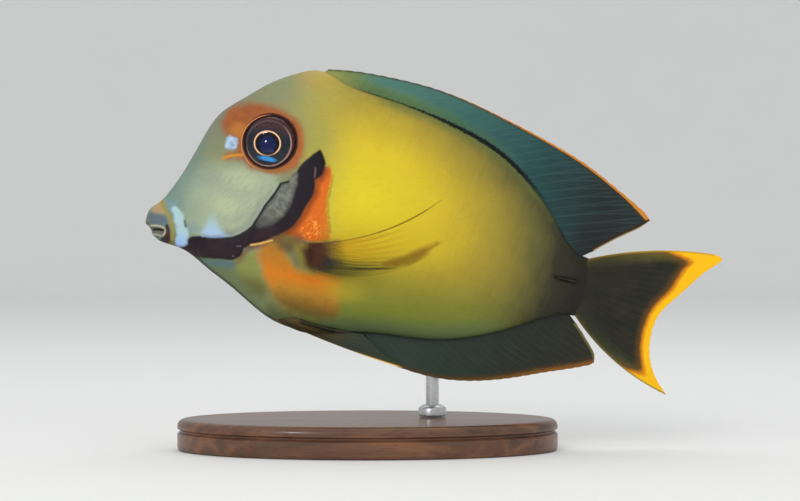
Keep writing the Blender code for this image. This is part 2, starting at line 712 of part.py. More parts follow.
def make_stand(pose):
    """An oval wooden base, and a steel rod with a collar at its foot, cut to the belly's slope."""
    shape = bmesh.new()
    bmesh.ops.create_cone(shape, segments=40, cap_ends=True, radius1=0.5, radius2=0.5, depth=1.0)
    size = Vector((BASE_LENGTH, BASE_WIDTH, BASE_THICKNESS)) * MM
    for vertex in shape.verts:
        vertex.co = Vector((vertex.co.x * size.x, vertex.co.y * size.y, (vertex.co.z + 0.5) * size.z))
    mesh = bpy.data.meshes.new("stand_base")
    shape.to_mesh(mesh)
    shape.free()
    base = bpy.data.objects.new("stand_base", mesh)
    bpy.context.scene.collection.objects.link(base)
    mesh.materials.append(material("wood"))
    bevel = base.modifiers.new("rounded edge", "BEVEL")
    bevel.width = BASE_BEVEL * MM
    bevel.segments = 2
    bevel.limit_method = "ANGLE"
    smooth(base)

    contact = pose.matrix_world @ (Vector(swum((ROD_X, ROD_SIDE, section(ROD_X)[1]))) * MM)
    foot = (BASE_THICKNESS + GAP) * MM
    rod = turned("stand_rod", contact, foot, contact.z + 12 * MM, ROD_RADIUS * MM, 16)
    belly = body_loft("belly", list(np.linspace(40, 98, 30)), 30, grown=GAP)
    settle([belly], pose)
    join_or_cut(rod, [belly], "DIFFERENCE")
    lowest_piece(rod)
    collar = turned("stand_collar", contact, foot, foot + COLLAR_HEIGHT * MM, COLLAR_RADIUS * MM, 24)
    bore = turned("bore", contact, 0.0, foot + 20 * MM, (ROD_RADIUS + GAP) * MM, 16)
    join_or_cut(collar, [bore], "DIFFERENCE")
    for obj in (rod, collar):
        obj.data.materials.clear()
        obj.data.materials.append(material("steel"))
        smooth(obj)


def turned(name, centre, low, high, radius, segments):
    """An upright cylinder in metres."""
    shape = bmesh.new()
    bmesh.ops.create_cone(
        shape, segments=segments, cap_ends=True, radius1=radius, radius2=radius, depth=high - low,
        matrix=Matrix.Translation((centre.x, centre.y, (low + high) / 2)),
    )
    mesh = bpy.data.meshes.new(name)
    shape.to_mesh(mesh)
    shape.free()
    obj = bpy.data.objects.new(name, mesh)
    bpy.context.scene.collection.objects.link(obj)
    return obj


def lowest_piece(obj):
    """Leaves only the lowest of obj's loose pieces."""
    shape = bmesh.new()
    shape.from_mesh(obj.data)
    pieces = sorted(islands(shape), key=lambda faces: min(v.co.z for face in faces for v in face.verts))
    above = [face for faces in pieces[1:] for face in faces]
    bmesh.ops.delete(shape, geom=above, context="FACES")
    shape.to_mesh(obj.data)
    shape.free()


def main():
    for obj in list(bpy.data.objects):
        bpy.data.objects.remove(obj)
    fish = make_body() + make_small_parts() + make_fins()
    pose = pose_frame()
    settle(fish, pose)
    make_stand(pose)


main()
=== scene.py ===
# Chocolate surgeonfish on its display stand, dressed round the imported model.
# The fish is laid out in its own frame, in millimetres: x runs from the snout to the tail,
# y to its right and z up. toWorld() pitches it nose up and swings its tail.
import math
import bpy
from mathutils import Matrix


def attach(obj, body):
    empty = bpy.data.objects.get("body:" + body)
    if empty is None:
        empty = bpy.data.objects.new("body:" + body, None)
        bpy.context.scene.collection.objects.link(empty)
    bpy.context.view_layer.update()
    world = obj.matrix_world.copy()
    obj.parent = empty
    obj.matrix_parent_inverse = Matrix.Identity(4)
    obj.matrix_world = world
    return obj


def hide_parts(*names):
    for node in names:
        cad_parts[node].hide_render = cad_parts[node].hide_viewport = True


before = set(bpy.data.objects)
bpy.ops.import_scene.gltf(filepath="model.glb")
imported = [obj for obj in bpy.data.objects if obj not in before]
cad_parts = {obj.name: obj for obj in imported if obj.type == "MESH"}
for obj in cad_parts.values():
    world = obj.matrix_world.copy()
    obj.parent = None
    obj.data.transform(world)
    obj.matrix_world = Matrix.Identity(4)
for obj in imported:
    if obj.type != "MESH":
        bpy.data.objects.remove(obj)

from types import SimpleNamespace

import bpy
import numpy as np
from mathutils import Vector

scene = bpy.context.scene
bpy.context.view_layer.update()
print("frame loaded:", len(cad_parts), "nodes")

# noseUp is in degrees
pose = {
    "noseUp": 12.0, "balanceX": 50.0, "shift": 0.02, "height": 57.63, "swayStart": 45.0, "swayReach": 85.0,
    "tailSway": 5.0,
}
# The golden ring round the pupil has its middle beside the eye's, and a height less than its width
eye = {
    "x": 24.2, "z": 17.1, "y": 6.2, "radius": 5.95, "depth": 2.9, "leanX": 0.19, "leanZ": -0.10,
    "ringX": -0.40, "ringZ": -0.59, "ringHigh": 0.93, "ringRadius": 2.92,
}

# Distance from the snout, back, belly, half breadth, height of the broadest point, fullness above, below
bodyRows = (
    (0, -4.9, -6.2, 0.5, -5.6, 2.2, 2.2), (0.3, -3.4, -6.8, 1.5, -5.4, 2.2, 2.4),
    (1.2, -2.2, -7.3, 2.2, -5.2, 2.2, 2.4), (2.4, -0.9, -8.8, 2.6, -5.2, 2.1, 2.3),
    (4, 1.9, -9.8, 2.8, -4.8, 2, 2.2), (6, 6.5, -10.1, 3.2, -3.4, 2, 2.2), (8, 12.5, -10.3, 3.8, -0.5, 2, 2.2),
    (10.2, 18.9, -10.8, 4.4, 2.5, 2.1, 2.1), (12.9, 22.9, -12, 5.1, 5.5, 2.2, 2.1),
    (16.6, 26.3, -14, 5.9, 8, 2.3, 2), (21, 30.2, -16.1, 6.8, 9, 2.4, 1.9), (26.1, 33.4, -18.9, 7.7, 8.5, 2.3, 1.9),
    (32, 35.3, -21.8, 8.7, 7, 2.1, 1.9), (38, 33.6, -22.9, 9.3, 5.5, 1.9, 1.9),
    (47, 32.3, -21.8, 9.4, 4.2, 1.8, 1.9), (57, 30.9, -19.9, 8.7, 3.2, 1.75, 1.9),
    (68, 28.3, -18.9, 7.2, 2.6, 1.7, 1.8), (76, 25.2, -16.9, 5.9, 2.2, 1.7, 1.8),
    (84, 19.8, -13.5, 4.5, 1.6, 1.7, 1.8), (91, 13, -9.8, 3.3, 0.8, 1.8, 1.8), (95, 8.6, -7.9, 2.7, 0.2, 1.9, 1.9),
    (98, 6.8, -7, 2.3, 0, 2, 2), (101, 6.9, -7.3, 2, 0, 2, 2),
)

# Lines and outlines on the left flank, read off as x and z in turn
headLines = {
    "slit": (2.2, -7.65, 2.9, -7.5, 3.8, -7.35, 4.5, -7.3),
    "upperLip": (1.6, -6.8, 2.8, -6.6, 3.7, -6.55, 4.4, -6.7, 4.9, -7.1, 5, -7.8, 4.7, -8.5),
    "lowerLip": (2.2, -8.6, 3.4, -8.55, 4.2, -8.7),
    "chin": (2.9, -9.4, 4.1, -9.35),
    "jaw": (2.9, 1.4, 4.2, -1.6, 6, -4.4, 7.2, -7, 7.5, -9.4),
    "preopercle": (
        30.1, 9.1, 28.6, 8.4, 28.1, 6.9, 27.3, 5.1, 26.1, 2.8, 25.6, 1.1, 24.8, -0.9, 24.2, -2.4, 23.3, -3.5,
        21.9, -4.7, 20.3, -5.8, 18.7, -6.2),
    "cheekRim": (28.2, 8.1, 27, 5.5, 25.6, 2.8, 24.7, 0.3, 23.7, -2, 22, -4, 20.2, -5.3, 18.6, -5.7),
    "gillEdge": (
        13.2, -11.6, 17.3, -10.7, 21.8, -10.1, 23.7, -7.9, 25.6, -5.9, 28.4, -4.5, 31.3, -2.9, 33.8, -0.6,
        35.6, 2.7, 36.6, 6.4, 37.1, 10, 37.3, 14, 36.1, 17.4),
    "underBand": (24.8, -6.4, 26.7, -5.65, 28.2, -4.9, 29.2, -4.4),
    "bandSlit": (35.4, 13.4, 35.6, 12.3, 35.7, 11.3),
    "barSpot": (8.9, -4.2, 9.15, -4.8, 9.4, -5.3),
    "barFoot": (34.7, -3, 36.1, -3.2, 37.8, -3.4, 39.6, -3.2, 41.7, -2.4, 43.8, -1.8),
    "orangeEdge": (39.6, 12.4, 39.7, 9.4, 39.7, 6.6, 40.2, 4.4, 41, 2.2, 41.7, 0.2),
    "beforeBar": (2.5, -0.7, 3.6, -2.1, 4.6, -3.3, 5.6, -4.5, 6.4, -5.9, 6.8, -7.2, 6.8, -8.3, 7, -9.6),
    "noseStreak": (14.6, 11.4, 16.4, 12.3, 18.6, 12.9),
    "crease": (39.3, -20.9, 41.6, -21.4, 43.9, -21.7, 46.6, -21.3),
    "pectoralRoot": (36.4, -3.4, 37.2, -5.4, 38.2, -7.6, 38.9, -9),
    "gillFront": (31, 19, 27, 9, 22.5, -2, 13, -7),
}
headPatches = {
    "band": (
        8.1, -10.4, 10.1, -10.7, 12.1, -11.4, 13.2, -11.8, 16.2, -11.3, 18.9, -10.8, 21.2, -10.7, 22.9, -9.5,
        23.3, -8.1, 23.8, -7, 25, -6.3, 26.7, -5.4, 27.9, -4.7, 28.9, -3.9, 30.7, -2.7, 32.7, -1.1, 33.8, 0.5,
        34.4, 1.9, 34.9, 3.7, 35.5, 5.4, 36.3, 7.7, 36.2, 9.5, 35.8, 10.7, 36.9, 11.4, 37.4, 13.1, 37.5, 14.8,
        36.9, 16.1, 36, 17.3, 35.8, 17.6, 35.6, 17.6, 34.1, 16, 32.8, 14.4, 31.9, 12.9, 31.5, 11.6, 30.7, 10.3,
        29.9, 9, 28.7, 8.2, 28.1, 6.9, 27.3, 5.1, 26.1, 2.8, 25.6, 1.1, 24.8, -0.9, 24.2, -2.4, 23.3, -3.5,
        21.9, -4.7, 20.2, -5.3, 17.6, -5.6, 15.9, -6.2, 14.2, -6.4, 12, -7, 10.6, -7.6, 10.2, -8.5, 9.9, -9.7),
    "gillGrey": (
        28.7, 8.1, 28, 6.1, 27, 4.3, 26.1, 2.2, 25.4, 0.4, 24.8, -1.6, 25.6, -2.4, 27.3, -1.8, 29.2, -0.4,
        30.6, 1.6, 31.4, 3.5, 31.7, 5.3, 32, 7.7, 32, 9.7, 31.6, 11.7, 30.7, 10.6, 29.9, 9),
    "orange": (
        38.8, 14.4, 36.6, 13.8, 35.6, 11.5, 34.8, 10, 35, 8.6, 34.9, 6.7, 34.4, 5.3, 33.8, 3.8, 33.3, 2.3,
        32.8, 1.1, 32, -0.4, 31, -1.8, 32.6, -2.6, 34.6, -2.6, 36.5, -2.8, 37.9, -3, 39.8, -2.4, 42, -1.7,
        41.6, 0.1, 40.8, 2.2, 39.8, 4.8, 39.5, 7, 39.5, 8.6, 39.5, 10.4, 39.3, 12.6),
    "bar": (
        5.3, -2, 6.1, -3.4, 6.8, -4.9, 7.4, -6.6, 7.9, -8.3, 7.5, -9.6, 8.2, -10.3, 10, -9.6, 10.4, -8.3,
        10.5, -7.3, 9.9, -6.1, 9.2, -4.9, 8.4, -3.4, 7.7, -2.4, 6.8, -1.6, 5.8, -1.3),
    "barHaze": (3.4, -0.3, 3.2, -1.5, 4.5, -2.6, 5.6, -3.3, 6.5, -2.2, 7.2, -1.1, 6, -0.2, 4.5, 0.2),
    "wedge": (
        14.9, -0.5, 14.1, -2.4, 13.7, -4.6, 13, -6.3, 15.4, -6.4, 16.9, -5.9, 18.6, -5.4, 17.4, -4.5, 16.2, -2.9,
        15.4, -1.5),
    "wedgeHaze": (9.5, -5.3, 10.3, -6.6, 13.1, -6, 13.1, -4.9, 11.6, -4.1),
    "nostrilSpot": (14.3, 14.8, 14.4, 16.2, 15.5, 16.7, 16.7, 16.4, 17.2, 15.1, 16.8, 13.9, 15.5, 13.4, 14.5, 13.7),
    "eyePatch": (
        14.1, 16.6, 13.3, 18, 12.4, 19.8, 13.2, 22, 14.7, 23.5, 17.3, 24.8, 19.6, 25, 22, 24.9, 24.8, 24.7,
        27.3, 24.1, 29.6, 22.9, 31, 20.7, 31.9, 17.9, 31.9, 15.6, 31.2, 13.6, 29.7, 12, 27.5, 10.6, 24.7, 10.3,
        21.9, 10.4, 19.6, 11.4, 18.6, 12, 17, 11.9, 15.3, 11.2, 15.1, 12, 16.5, 13.2, 17.3, 14.2, 17.2, 15.6,
        16.2, 17),
    "noseOrange": (2.3, -0.3, 1.4, -1.6, 0.9, -2.7, 0.9, -3.8, 2.2, -4, 3.8, -3.9, 4.5, -3.5, 3.7, -2.1, 3.1, -0.6),
    "noseGrey": (0.5, -4.1, 0.6, -5.5, 1.1, -6.6, 2.7, -6.4, 4.5, -6.3, 5.3, -5.4, 4.6, -4.2, 3.3, -3.9, 1.7, -3.9),
    "oliveFoot": (6.2, -9.4, 7.1, -9, 7.5, -9.8, 6.7, -10.6, 6.1, -10.4),
    "mouthDark": (
        4.7, -6, 5.3, -5.6, 5.9, -6.7, 6.3, -8, 6.5, -9.3, 6, -10.3, 4.1, -10.3, 4, -9.6, 4.6, -8.9, 5.1, -8,
        5.2, -7.1),
    "lipArea": (1.4, -7, 3.3, -6.8, 4.7, -7, 5.1, -7.6, 4.7, -8.5, 3.9, -9.5, 2.1, -9.3),
    "chestOrange": (
        26.9, -6.2, 28, -5.1, 29.5, -4.4, 31.5, -3.8, 32.6, -5.2, 33.5, -7, 34.7, -8.6, 36.3, -9.6, 38.6, -9.7,
        41.7, -8.9, 44.4, -8.8, 46.2, -9.8, 46.6, -14.3, 47.1, -17.7, 45.6, -19.6, 42.2, -19.9, 38.8, -19.7,
        35.2, -19.1, 32.3, -17.4, 30.1, -14.4, 28.4, -11.3, 26.6, -8.5),
    "chestGreen": (
        23.3, -8.1, 25.2, -7, 27, -7, 28, -9.6, 29.1, -12.5, 30.6, -15.4, 29.6, -18, 26.6, -16.8, 23.9, -14.6,
        22.1, -12.7, 22.1, -10.4),
    "chestBlue": (
        12, -12.6, 13.2, -12, 15.3, -11.5, 19, -10.9, 21.7, -10.7, 22.4, -11.7, 21.2, -12.9, 18.8, -12.7,
        16.4, -13.2),
    "chestDark": (
        31.5, -18, 35.2, -19.3, 38.8, -19.9, 42.3, -20.1, 45.7, -19.8, 50, -18.7, 53.4, -18.6, 53.7, -21.4,
        48.2, -22.5, 44.9, -23.2, 39.2, -23.9, 34.7, -23.8, 30.9, -21.3),
    "pad": (
        31.8, -4.4, 33.3, -4.1, 35.3, -5.7, 36.8, -7.7, 37.9, -9.3, 36.3, -9.7, 34.5, -8.4, 33.2, -6.9, 32.3, -5.5),
    "finShade": (
        34.4, -3.9, 37, -3.7, 39.6, -3.6, 42.3, -3.2, 45.4, -3.2, 45.4, -5.6, 43.2, -7.4, 40.8, -8.9, 38.3, -9.2,
        36.6, -7),
}


def toWorld(points):
    x, y, z = np.asarray(points, float).T
    bend = np.maximum(0.0, x - pose["swayStart"]) / pose["swayReach"]
    c, s = math.cos(math.radians(pose["noseUp"])), math.sin(math.radians(pose["noseUp"]))
    along = (x - pose["balanceX"]) * c + z * s + pose["shift"]
    return np.stack((along, y + pose["tailSway"] * bend**2, -x * s + z * c + pose["height"]), axis=1) * 0.001


def cubic(xs, ys):
    # natural cubic spline through the points, which takes arrays
    xs, ys = np.asarray(xs, float), np.asarray(ys, float)
    step = np.diff(xs)
    matrix, right = np.eye(len(xs)), np.zeros(len(xs))
    for i in range(1, len(xs) - 1):
        matrix[i, i - 1 : i + 2] = step[i - 1], 2 * (step[i - 1] + step[i]), step[i]
        right[i] = 6 * ((ys[i + 1] - ys[i]) / step[i] - (ys[i] - ys[i - 1]) / step[i - 1])
    bend = np.linalg.solve(matrix, right)

    def value(x):
        i = np.clip(np.searchsorted(xs, x) - 1, 0, len(xs) - 2)
        a, b, h = xs[i + 1] - x, x - xs[i], step[i]
        curve = (bend[i] * a**3 + bend[i + 1] * b**3) / (6 * h)
        return curve + (ys[i] / h - bend[i] * h / 6) * a + (ys[i + 1] / h - bend[i + 1] * h / 6) * b

    return value


def curveThrough(points):
    # smooth curve in x and z, as a function of the share of its length
    points = np.reshape(points, (-1, 2))
    reach = np.concatenate([[0], np.cumsum(np.linalg.norm(np.diff(points, axis=0), axis=1))])
    xOf, zOf = cubic(reach / reach[-1], points[:, 0]), cubic(reach / reach[-1], points[:, 1])
    return lambda share: np.stack([xOf(share), zOf(share)], axis=-1)


def smoothstep(low, high, value):
    t = np.clip((value - low) / (high - low), 0.0, 1.0)
    return t * t * (3 - 2 * t)


def bell(value, width):
    return np.exp(-((value / width) ** 2))


def toLine(x, z, line):
    # distance to an open line of points
    best = np.full(np.shape(x), 1e9)
    line = np.reshape(line, (-1, 2))
    for (ax, az), (bx, bz) in zip(line[:-1], line[1:]):
        runX, runZ = bx - ax, bz - az
        share = np.clip(((x - ax) * runX + (z - az) * runZ) / (runX**2 + runZ**2 + 1e-12), 0.0, 1.0)
        best = np.minimum(best, np.hypot(x - ax - share * runX, z - az - share * runZ))
    return best


def insideOf(x, z, outline, times=2):
    # distance from a closed outline with its corners cut, positive inside it
    points = np.reshape(outline, (-1, 2))
    for _ in range(times):
        after = np.roll(points, -1, axis=0)
        points = np.stack([0.78 * points + 0.22 * after, 0.22 * points + 0.78 * after], axis=1).reshape(-1, 2)
    inside = np.zeros(np.shape(x), bool)
    for (ax, az), (bx, bz) in zip(points, np.roll(points, -1, axis=0)):
        if az != bz:
            inside ^= ((az > z) != (bz > z)) & (x < (bx - ax) * (z - az) / (bz - az) + ax)
    away = toLine(x, z, np.concatenate([points, points[:1]]))
    return np.where(inside, away, -away)


bodyProfiles = [cubic([math.sqrt(row[0]) for row in bodyRows], [row[k] for row in bodyRows]) for k in range(1, 7)]


def section(x):
    back, belly, half, widest, above, below = [p(np.sqrt(np.maximum(x, 0.0))) for p in bodyProfiles]
    runOut = smoothstep(96.5, 104.0, x)  # the tail's fleshy root thins out into the fin
    drawn = 1 - 0.25 * smoothstep(98.5, 104.0, x)
    return back * drawn, belly * drawn, half + (0.3 - half) * runOut, widest, above, below


def keelHalf(x):
    return 0.3 + 0.25 * np.minimum(1.0, x / 31.9) - 0.35 * smoothstep(99.0, 103.0, x)


def flank(x, z):
    back, belly, half, widest, above, below = section(x)
    up = z > widest
    share = np.where(up, (z - widest) / (back - widest), (widest - z) / (widest - belly))
    full = np.sqrt(np.clip(1 - np.clip(share, 0, 1) ** np.where(up, above, below), 0, 1))
    return keelHalf(x) + (half - keelHalf(x)) * full


def relief(x, z):
    # how far the skin stands out from the plain body, in millimetres
    def beside(line, width, off=0.0):
        return bell(toLine(x, z, headLines.get(line, line)) - off, width)

    mouth, eyeAway = smoothstep(7.6, 6.2, x), np.hypot(x - eye["x"], z - eye["z"])
    lift = (0.22 * beside("upperLip", 0.40) + 0.20 * beside("lowerLip", 0.38) - 0.75 * beside("slit", 0.27)) * mouth
    lift += 0.08 * beside("cheekRim", 0.5) - 0.10 * beside("jaw", 0.30) - 0.15 * beside("preopercle", 0.34)
    front = toLine(x, z, headLines["gillFront"])
    inPlate = insideOf(x, z, headLines["gillEdge"] + headLines["gillFront"], 1)
    lift += 0.50 * smoothstep(-0.30, 0.40, inPlate) * smoothstep(0.3, 5.0, front) * (inPlate > -0.6)
    lift -= 0.16 * bell(inPlate + 0.55, 0.35) * smoothstep(0.5, 4.0, front)
    lift += 0.25 * bell(eyeAway - 6.8, 0.9) - 1.7 * smoothstep(5.9, 5.3, eyeAway)  # the fold round the eye
    lift += 0.85 * beside("pectoralRoot", 1.5) - 0.20 * beside("crease", 0.45)
    lift += 0.06 * beside((92.6, 0.7, 98.8, 0.7), 0.4, 1.1) - 0.45 * beside((93.2, 0.7, 98.2, 0.7), 0.55)  # scalpel
    for nostrilX, nostrilZ, radius in ((15.9, 14.4, 0.42), (17.1, 14.9, 0.30)):
        away = np.hypot(x - nostrilX, z - nostrilZ)
        lift += 0.16 * bell(away - radius - 0.18, 0.2) - 0.55 * bell(away, radius)
    return lift


def skinZones(x, z):
    # what the skin's material reads at each point, in millimetres but for glow
    high = 30.0 + np.where(z > 8.0, 5.0 * smoothstep(78.0, 50.0, x), 7.0 * smoothstep(65.0, 88.0, x))
    back, belly = section(x)[:2]
    return {
        **{name + "In": insideOf(x, z, outline) for name, outline in headPatches.items()},
        "glow": np.hypot((x * 0.978 + z * 0.208 - 49.0) / 43.0, (z - 8.0) / high),
        "eyeAway": np.hypot(x - eye["x"], z - eye["z"]), "keelDepth": back - z, "bellyHeight": z - belly,
    }


def gridFaces(rows, columns, wrap=False, capped=False):
    # quads between rows of points, where wrap joins the last column to the first and capped shuts both ends
    a = np.arange(rows - 1)[:, None] * columns + np.arange(columns if wrap else columns - 1)[None, :]
    b = a + 1
    if wrap:
        b[:, -1] -= columns
    faces = np.stack([a, b, b + columns, a + columns], axis=-1).reshape(-1, 4).tolist()
    if capped:
        faces += [list(range(columns))[::-1], list(range((rows - 1) * columns, rows * columns))]
    return faces


def turnOutwards(mesh):
    # a closed mesh whose faces all agree but point inwards is turned over
    mesh.calc_loop_triangles()
    corners = np.empty(len(mesh.loop_triangles) * 3, np.int32)
    mesh.loop_triangles.foreach_get("vertices", corners)
    places = np.empty(len(mesh.vertices) * 3, np.float32)
    mesh.vertices.foreach_get("co", places)
    a, b, c = places.reshape(-1, 3).astype(float)[corners.reshape(-1, 3)].transpose(1, 0, 2)
    if np.sum(a * np.cross(b, c)) < 0:
        mesh.flip_normals()


def addObject(name, data):
    thing = bpy.data.objects.new(name, data)
    scene.collection.objects.link(thing)
    return thing


def setValues(mesh, values):
    for name, numbers in values.items():
        mesh.attributes.new(name, "FLOAT", "POINT").data.foreach_set("value", np.asarray(numbers, np.float32).ravel())


def meshPiece(name, points, faces, look, values=None):
    # points in the fish's frame make a mesh that keeps them as "level", for its patterns
    mesh = bpy.data.meshes.new(name)
    mesh.from_pydata(toWorld(points).tolist(), [], faces)
    turnOutwards(mesh)
    level = mesh.attributes.new("level", "FLOAT_VECTOR", "POINT")
    level.data.foreach_set("vector", np.ascontiguousarray(points, np.float32).ravel())
    setValues(mesh, values or {})
    mesh.shade_smooth()
    mesh.materials.append(bpy.data.materials[look])
    return addObject(name, mesh)


def mount(piece, slotName, *replaced):
    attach(piece, "root")
    if replaced:
        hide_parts(*replaced)


def addNode(tree, kind, inputs=None, **settings):
    # an input that is a Field is linked, any other is set
    node = tree.nodes.new(kind)
    for name, value in settings.items():
        setattr(node, name, value)
    for key, value in (inputs or {}).items():
        if isinstance(value, Field):
            tree.links.new(value.socket, node.inputs[key])
        else:
            node.inputs[key].default_value = value
    return node


def field(tree, kind, inputs=None, output=0, **settings):
    return Field(tree, addNode(tree, kind, inputs, **settings).outputs[output])


class Field:
    # what a node puts out: sums and products of fields add the nodes that work them out
    def __init__(self, tree, socket):
        self.tree, self.socket = tree, socket

    def maths(self, operation, *values):
        return field(self.tree, "ShaderNodeMath", dict(enumerate((self, *values))), operation=operation)

    def vector(self, operation, *values, **more):
        output = "Value" if operation in ("DOT_PRODUCT", "LENGTH", "DISTANCE") else "Vector"
        inputs = {**dict(enumerate((self, *values))), **more}
        return field(self.tree, "ShaderNodeVectorMath", inputs, output, operation=operation)

    def parts(self):
        return [Field(self.tree, socket) for socket in addNode(self.tree, "ShaderNodeSeparateXYZ", {0: self}).outputs]

    def share(self, low, high, atHigh=1, atLow=0):
        # a soft step from atLow at low to atHigh at high
        inputs = {"Value": self, "From Min": low, "From Max": high, "To Min": atLow, "To Max": atHigh}
        return field(self.tree, "ShaderNodeMapRange", inputs, interpolation_type="SMOOTHSTEP")

    __add__ = __radd__ = lambda self, other: self.maths("ADD", other)
    __mul__ = __rmul__ = lambda self, other: self.maths("MULTIPLY", other)
    __sub__ = lambda self, other: self.maths("SUBTRACT", other)
    __rsub__ = lambda self, other: self * -1.0 + other
    __abs__ = lambda self: self.maths("ABSOLUTE")


def joined(tree, x, y=0.0, z=0.0):
    return field(tree, "ShaderNodeCombineXYZ", {0: x, 1: y, 2: z})


def openTree(name, kind="ShaderNodeTree", **inputs):
    # a new tree and its inputs, where None stands for a vector and "" for a material
    tree = bpy.data.node_groups.new(name, kind)
    kinds = {type(None): "Vector", int: "Int", float: "Float", str: "Material"}
    labels = [label.replace("_", " ") for label in inputs]
    for label, value in zip(labels, inputs.values()):
        holds = "Geometry" if label == "Geometry" else kinds[type(value)]
        socket = tree.interface.new_socket(label, in_out="INPUT", socket_type="NodeSocket" + holds)
        if isinstance(value, (int, float)):
            socket.default_value = value
    given = addNode(tree, "NodeGroupInput").outputs
    return tree, [Field(tree, given[label]) for label in labels]


def closeTree(result, label, kind="Float"):
    tree = result.tree
    tree.interface.new_socket(label, in_out="OUTPUT", socket_type="NodeSocket" + kind)
    tree.links.new(result.socket, addNode(tree, "NodeGroupOutput").inputs[label])


def closeForm(geometry, material):
    # joins what meets, and ends as plain mesh with its material
    tree = geometry.tree
    geometry = field(tree, "GeometryNodeMergeByDistance", {"Geometry": geometry, "Distance": 1e-6})
    for kind in ("GeometryNodeSetShadeSmooth", "GeometryNodeRealizeInstances"):
        geometry = field(tree, kind, {0: geometry})
    geometry = field(tree, "GeometryNodeSetMaterial", {"Geometry": geometry, "Material": material})
    closeTree(geometry, "Geometry", "Geometry")
    tree.is_modifier = True


def named(tree, name):
    return field(tree, "GeometryNodeInputNamedAttribute", {"Name": name}, "Attribute", data_type="FLOAT")


def forked(ray, along, soft, firstFork=0.25, secondFork=0.60):
    # distance from the nearest branch of a ray, in rays: soft rays fork twice on their way out
    off = abs(ray - ray.maths("ROUND"))
    off = abs(off - along.share(firstFork, 1, 0.25) * soft)
    return abs(off - along.share(secondFork, 1.05, 0.125) * soft)


def buildFinRibs():
    # gives a fin's middle sheet two faces that meet at its rim, and raises a rib over each ray
    tree, (sheet, spines, spineHeight, rayHeight, ribWidth, firstFork, secondFork, material) = openTree(
        "finRibs", "GeometryNodeTree", Geometry=None, Spines=0, Spine_Height=0.16, Ray_Height=0.10, Rib_Width=0.17,
        First_Fork=0.25, Second_Fork=0.60, Material="")
    ray, along = named(tree, "ray"), named(tree, "along")
    soft = ray.maths("ROUND").maths("GREATER_THAN", spines - 0.5)
    high = ((rayHeight - spineHeight) * soft + spineHeight) * (1.0 - along * 0.5)
    rib = forked(ray, along, soft, firstFork, secondFork).share(ribWidth, 0.0)
    thick = (named(tree, "half") + high * rib) * named(tree, "inner") * 0.001
    normal, both = field(tree, "GeometryNodeInputNormal"), addNode(tree, "GeometryNodeJoinGeometry")
    for sign in (1.0, -1.0):
        push = normal.vector("SCALE", Scale=thick * sign)
        face = field(tree, "GeometryNodeSetPosition", {"Geometry": sheet, "Offset": push})
        if sign < 0:
            face = field(tree, "GeometryNodeFlipFaces", {0: face})
        tree.links.new(face.socket, both.inputs[0])
    closeForm(Field(tree, both.outputs[0]), material)


def buildTurnedForm():
    # leads a profile round an oval. Each of its points has an inset from the oval's edge,
    # a share by which it is drawn in towards the middle, and a height, in millimetres.
    tree, (profile, long, wide, centreX, centreY, segments, material) = openTree(
        "turnedForm", "GeometryNodeTree", Geometry=None, Half_Length=10.0, Half_Width=10.0, Centre_X=0.0,
        Centre_Y=0.0, Segments=64, Material="")
    ring = field(tree, "GeometryNodeCurvePrimitiveCircle", {"Resolution": segments, "Radius": 1.0})
    profile = field(tree, "GeometryNodeMeshToCurve", {0: profile})
    form = field(tree, "GeometryNodeCurveToMesh", {"Curve": ring, "Profile Curve": profile})
    x, y, _ = field(tree, "GeometryNodeInputPosition").parts()
    angle = y.maths("ARCTAN2", x)
    cos, sin = angle.maths("COSINE"), angle.maths("SINE")
    outX, outY, _ = joined(tree, wide * cos, long * sin).vector("NORMALIZE").parts()
    inset, share = named(tree, "inset"), named(tree, "share")
    x = (long * cos - inset * outX) * share + centreX
    y = (wide * sin - inset * outY) * share + centreY
    spot = joined(tree, x, y, named(tree, "height")).vector("SCALE", Scale=0.001)
    closeForm(field(tree, "GeometryNodeSetPosition", {"Geometry": form, "Position": spot}), material)


def grow(piece, treeName, look, values):
    # runs a tree on a piece and keeps the plain mesh that comes out
    modifier = piece.modifiers.new(treeName, "NODES")
    modifier.node_group = bpy.data.node_groups[treeName]
    chosen = {**values, "Material": bpy.data.materials[look]}
    for item in modifier.node_group.interface.items_tree:
        if item.in_out == "INPUT" and item.name in chosen:
            modifier[item.identifier] = chosen[item.name]
    evaluated = piece.evaluated_get(bpy.context.evaluated_depsgraph_get())
    mesh = bpy.data.meshes.new_from_object(evaluated)
    piece.modifiers.clear()
    before, piece.data = piece.data, mesh
    bpy.data.meshes.remove(before)
    mesh.name = piece.name
    turnOutwards(mesh)
    return piece


def paint(colour):
    # a colour given as on screen, from 0 to 255, for a socket; a field stays as it is
    if isinstance(colour, Field):
        return colour
    scaled = [value / 255 for value in colour]
    return tuple(v / 12.92 if v <= 0.04045 else ((v + 0.055) / 1.055) ** 2.4 for v in scaled) + (1.0,)


def blend(share, under, over, mode="MIX"):
    inputs = {0: share, 6: paint(under), 7: paint(over)}
    return field(share.tree, "ShaderNodeMix", inputs, 2, data_type="RGBA", blend_type=mode)


def layered(colour, *layers):
    # lays tones over a colour, each by its mask
    for layer in layers:
        colour = blend(layer[0], colour, *layer[1:])
    return colour


def ramp(share, *stops):
    # a place and a colour in turn
    node = addNode(share.tree, "ShaderNodeValToRGB", {0: share})
    elements = node.color_ramp.elements
    while len(elements) < len(stops) // 2:
        elements.new(1.0)
    for element, place, colour in zip(elements, stops[::2], stops[1::2]):
        element.position, element.color = place, paint(colour)
    return Field(share.tree, node.outputs[0])


def noise(place, scale, detail=3, **more):
    return field(place.tree, "ShaderNodeTexNoise", {"Vector": place, "Scale": scale, "Detail": detail, **more})


